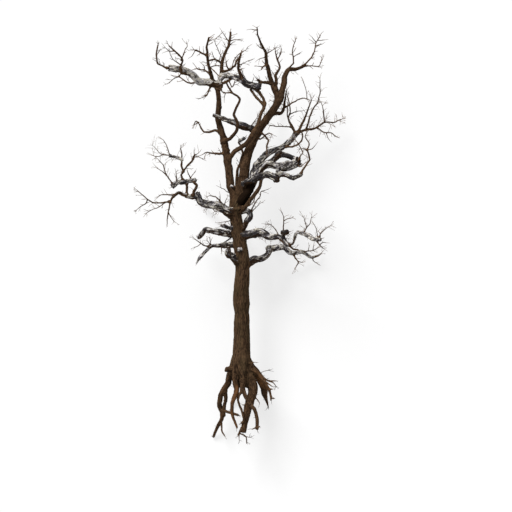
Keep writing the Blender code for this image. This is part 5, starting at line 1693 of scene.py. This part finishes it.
class DeadTreeWood(PropertyGroup):
    trunk_furrow: FloatProperty(
        name="Trunk furrow depth", description="How deep the furrows of the trunk's bark are",
        default=0.026, min=0.0, max=0.06, unit="LENGTH",
    )
    limb_relief: FloatProperty(
        name="Limb relief", description="Depth of the limbs' bark, as a share of its usual depth",
        default=1.0, min=0.0, max=2.0, subtype="FACTOR",
    )
    gnarl: FloatProperty(
        name="Gnarl", description="How strongly the limbs swell and narrow, against the usual",
        default=1.0, min=0.0, max=2.0, subtype="FACTOR",
    )
    bark_ridge: FloatVectorProperty(
        name="Bark ridge colour", description="Colour of the bark's raised plates",
        default=(0.086, 0.05, 0.027), min=0.0, max=1.0, subtype="COLOR",
    )
    bark_furrow: FloatVectorProperty(
        name="Bark furrow colour", description="Colour between the bark's plates",
        default=(0.031, 0.018, 0.0105), min=0.0, max=1.0, subtype="COLOR",
    )
    crust_pale: FloatVectorProperty(
        name="Crust pale colour", description="Lightest colour of weathered wood",
        default=(0.61, 0.585, 0.55), min=0.0, max=1.0, subtype="COLOR",
    )
    crust_middle: FloatVectorProperty(
        name="Crust middle colour", description="Usual colour of weathered wood",
        default=(0.25, 0.236, 0.22), min=0.0, max=1.0, subtype="COLOR",
    )
    crust_dark: FloatVectorProperty(
        name="Crust dark colour", description="Darkest colour of weathered wood",
        default=(0.07, 0.063, 0.064), min=0.0, max=1.0, subtype="COLOR",
    )
    crust_cool: FloatVectorProperty(
        name="Crust cool tint", description="Tint of the weathered wood's cooler patches",
        default=(0.93, 0.93, 1.0), min=0.0, max=1.0, subtype="COLOR",
    )
    crust_warm: FloatVectorProperty(
        name="Crust warm tint", description="Tint of the weathered wood's warmer patches",
        default=(1.0, 0.975, 0.89), min=0.0, max=1.0, subtype="COLOR",
    )
    bark_stain: FloatVectorProperty(
        name="Bark stain colour", description="Olive stain on the trunk",
        default=(0.056, 0.04, 0.02), min=0.0, max=1.0, subtype="COLOR",
    )
    root_stain: FloatVectorProperty(
        name="Root stain colour", description="Rusty stain on the roots",
        default=(0.13, 0.06, 0.024), min=0.0, max=1.0, subtype="COLOR",
    )


class DeadTreeTwigs(PropertyGroup):
    twig_width: FloatProperty(
        name="Twig width", description="Width of a twig where it leaves its limb",
        default=0.022, min=0.012, max=0.06, unit="LENGTH",
    )
    seed: IntProperty(
        name="Seed", description="Picks one of many arrangements of twigs", default=7, min=0,
    )


class DeadTreeStage(PropertyGroup):
    floor_colour: FloatVectorProperty(
        name="Floor colour", description="Colour of the floor",
        default=(0.28, 0.28, 0.28), min=0.0, max=1.0, subtype="COLOR",
    )
    floor_glow: FloatProperty(
        name="Floor glow", description="How brightly the floor glows",
        default=0.68, min=0.0, max=2.0,
    )
    key_strength: FloatProperty(
        name="Key strength", description="Strength of the main light, from the crown's end",
        default=3.4, min=0.0, max=10.0,
    )
    sky_strength: FloatProperty(
        name="Sky strength", description="Strength of the light from all round",
        default=0.58, min=0.0, max=5.0,
    )
    camera_distance: FloatProperty(
        name="Camera distance", description="How far the camera is from the tree",
        default=150.0, min=20.0, max=1000.0, unit="LENGTH",
    )


def add_limbs(names):
    for name in names:
        add_limb(name)
    return {"FINISHED"}


class BuildTrunk(Operator):
    """Replaces the trunk's solid with furrowed bark"""

    bl_idname = "dead_tree.trunk"
    bl_label = "Trunk"

    def execute(self, context):
        return add_limbs(("trunk",))


class BuildStems(Operator):
    """Replaces the stems and leaders above the fork"""

    bl_idname = "dead_tree.stems"
    bl_label = "Stems"

    def execute(self, context):
        return add_limbs(STEMS)


class BuildHead(Operator):
    """Replaces the bleached head and its spikes"""

    bl_idname = "dead_tree.head"
    bl_label = "Head"

    def execute(self, context):
        return add_limbs(HEAD)


class BuildRightBoughs(Operator):
    """Replaces the boughs on the right"""

    bl_idname = "dead_tree.right_boughs"
    bl_label = "Right boughs"

    def execute(self, context):
        return add_limbs(RIGHT_BOUGHS)


class BuildLeftBoughs(Operator):
    """Replaces the boughs on the left"""

    bl_idname = "dead_tree.left_boughs"
    bl_label = "Left boughs"

    def execute(self, context):
        return add_limbs(LEFT_BOUGHS)


class BuildBackBoughs(Operator):
    """Replaces the boughs that the tree lies on"""

    bl_idname = "dead_tree.back_boughs"
    bl_label = "Back boughs"

    def execute(self, context):
        return add_limbs(BACK_BOUGHS)


class BuildRoots(Operator):
    """Replaces the roots"""

    bl_idname = "dead_tree.roots"
    bl_label = "Roots"

    def execute(self, context):
        return add_limbs(ROOTS)


class BuildShoots(Operator):
    """Adds the small limbs and the small roots"""

    bl_idname = "dead_tree.shoots"
    bl_label = "Shoots"

    def execute(self, context):
        make_shoots("crown_shoots", BARK)
        make_shoots("crusted_shoots", WEATHERED)
        make_shoots("root_shoots", ROOT)
        return {"FINISHED"}


class BuildTwigs(Operator):
    """Grows the twigs, brown and grey"""

    bl_idname = "dead_tree.twigs"
    bl_label = "Twigs"

    def execute(self, context):
        make_twigs("brown_twigs", twig_bearers(False), TWIG_BROWNS)
        make_twigs("grey_twigs", twig_bearers(True), TWIG_GREYS)
        return {"FINISHED"}


class BuildFibres(Operator):
    """Grows the fine roots"""

    bl_idname = "dead_tree.fibres"
    bl_label = "Root fibres"

    def execute(self, context):
        make_twigs("root_fibres", fibre_bearers(), ROOT_BROWNS)
        return {"FINISHED"}


class BuildStage(Operator):
    """Sets the floor, the lights and the camera"""

    bl_idname = "dead_tree.stage"
    bl_label = "Stage"

    def execute(self, context):
        add_floor()
        add_sky()
        add_key()
        add_camera()
        context.scene.view_settings.view_transform = "Standard"
        return {"FINISHED"}


class DeadTreePanel(Panel):
    """Lists the tree's pieces and their settings"""

    bl_idname = "VIEW3D_PT_dead_tree"
    bl_label = "Dead Tree"
    bl_space_type = "VIEW_3D"
    bl_region_type = "UI"
    bl_category = "Dead Tree"

    def draw(self, context):
        for group in SETTINGS:
            box = self.layout.box()
            settings = getattr(context.scene, group)
            for name in settings.bl_rna.properties.keys():
                if name not in ("rna_type", "name"):
                    box.prop(settings, name)
        for operator in OPERATORS:
            self.layout.operator(operator.bl_idname)


SETTINGS = {
    "dead_tree_wood": DeadTreeWood,
    "dead_tree_twigs": DeadTreeTwigs,
    "dead_tree_stage": DeadTreeStage,
}
OPERATORS = (
    BuildTrunk, BuildStems, BuildHead, BuildRightBoughs, BuildLeftBoughs, BuildBackBoughs, BuildRoots,
    BuildShoots, BuildTwigs, BuildFibres, BuildStage,
)


def register():
    for kind in (*SETTINGS.values(), *OPERATORS, DeadTreePanel):
        bpy.utils.register_class(kind)
    for name, kind in SETTINGS.items():
        setattr(Scene, name, PointerProperty(type=kind))


def unregister():
    for name in SETTINGS:
        delattr(Scene, name)
    for kind in reversed((*SETTINGS.values(), *OPERATORS, DeadTreePanel)):
        bpy.utils.unregister_class(kind)


def main():
    register()
    for operator in OPERATORS:
        group, name = operator.bl_idname.split(".")
        getattr(getattr(bpy.ops, group), name)()


if __name__ == "__main__":
    main()
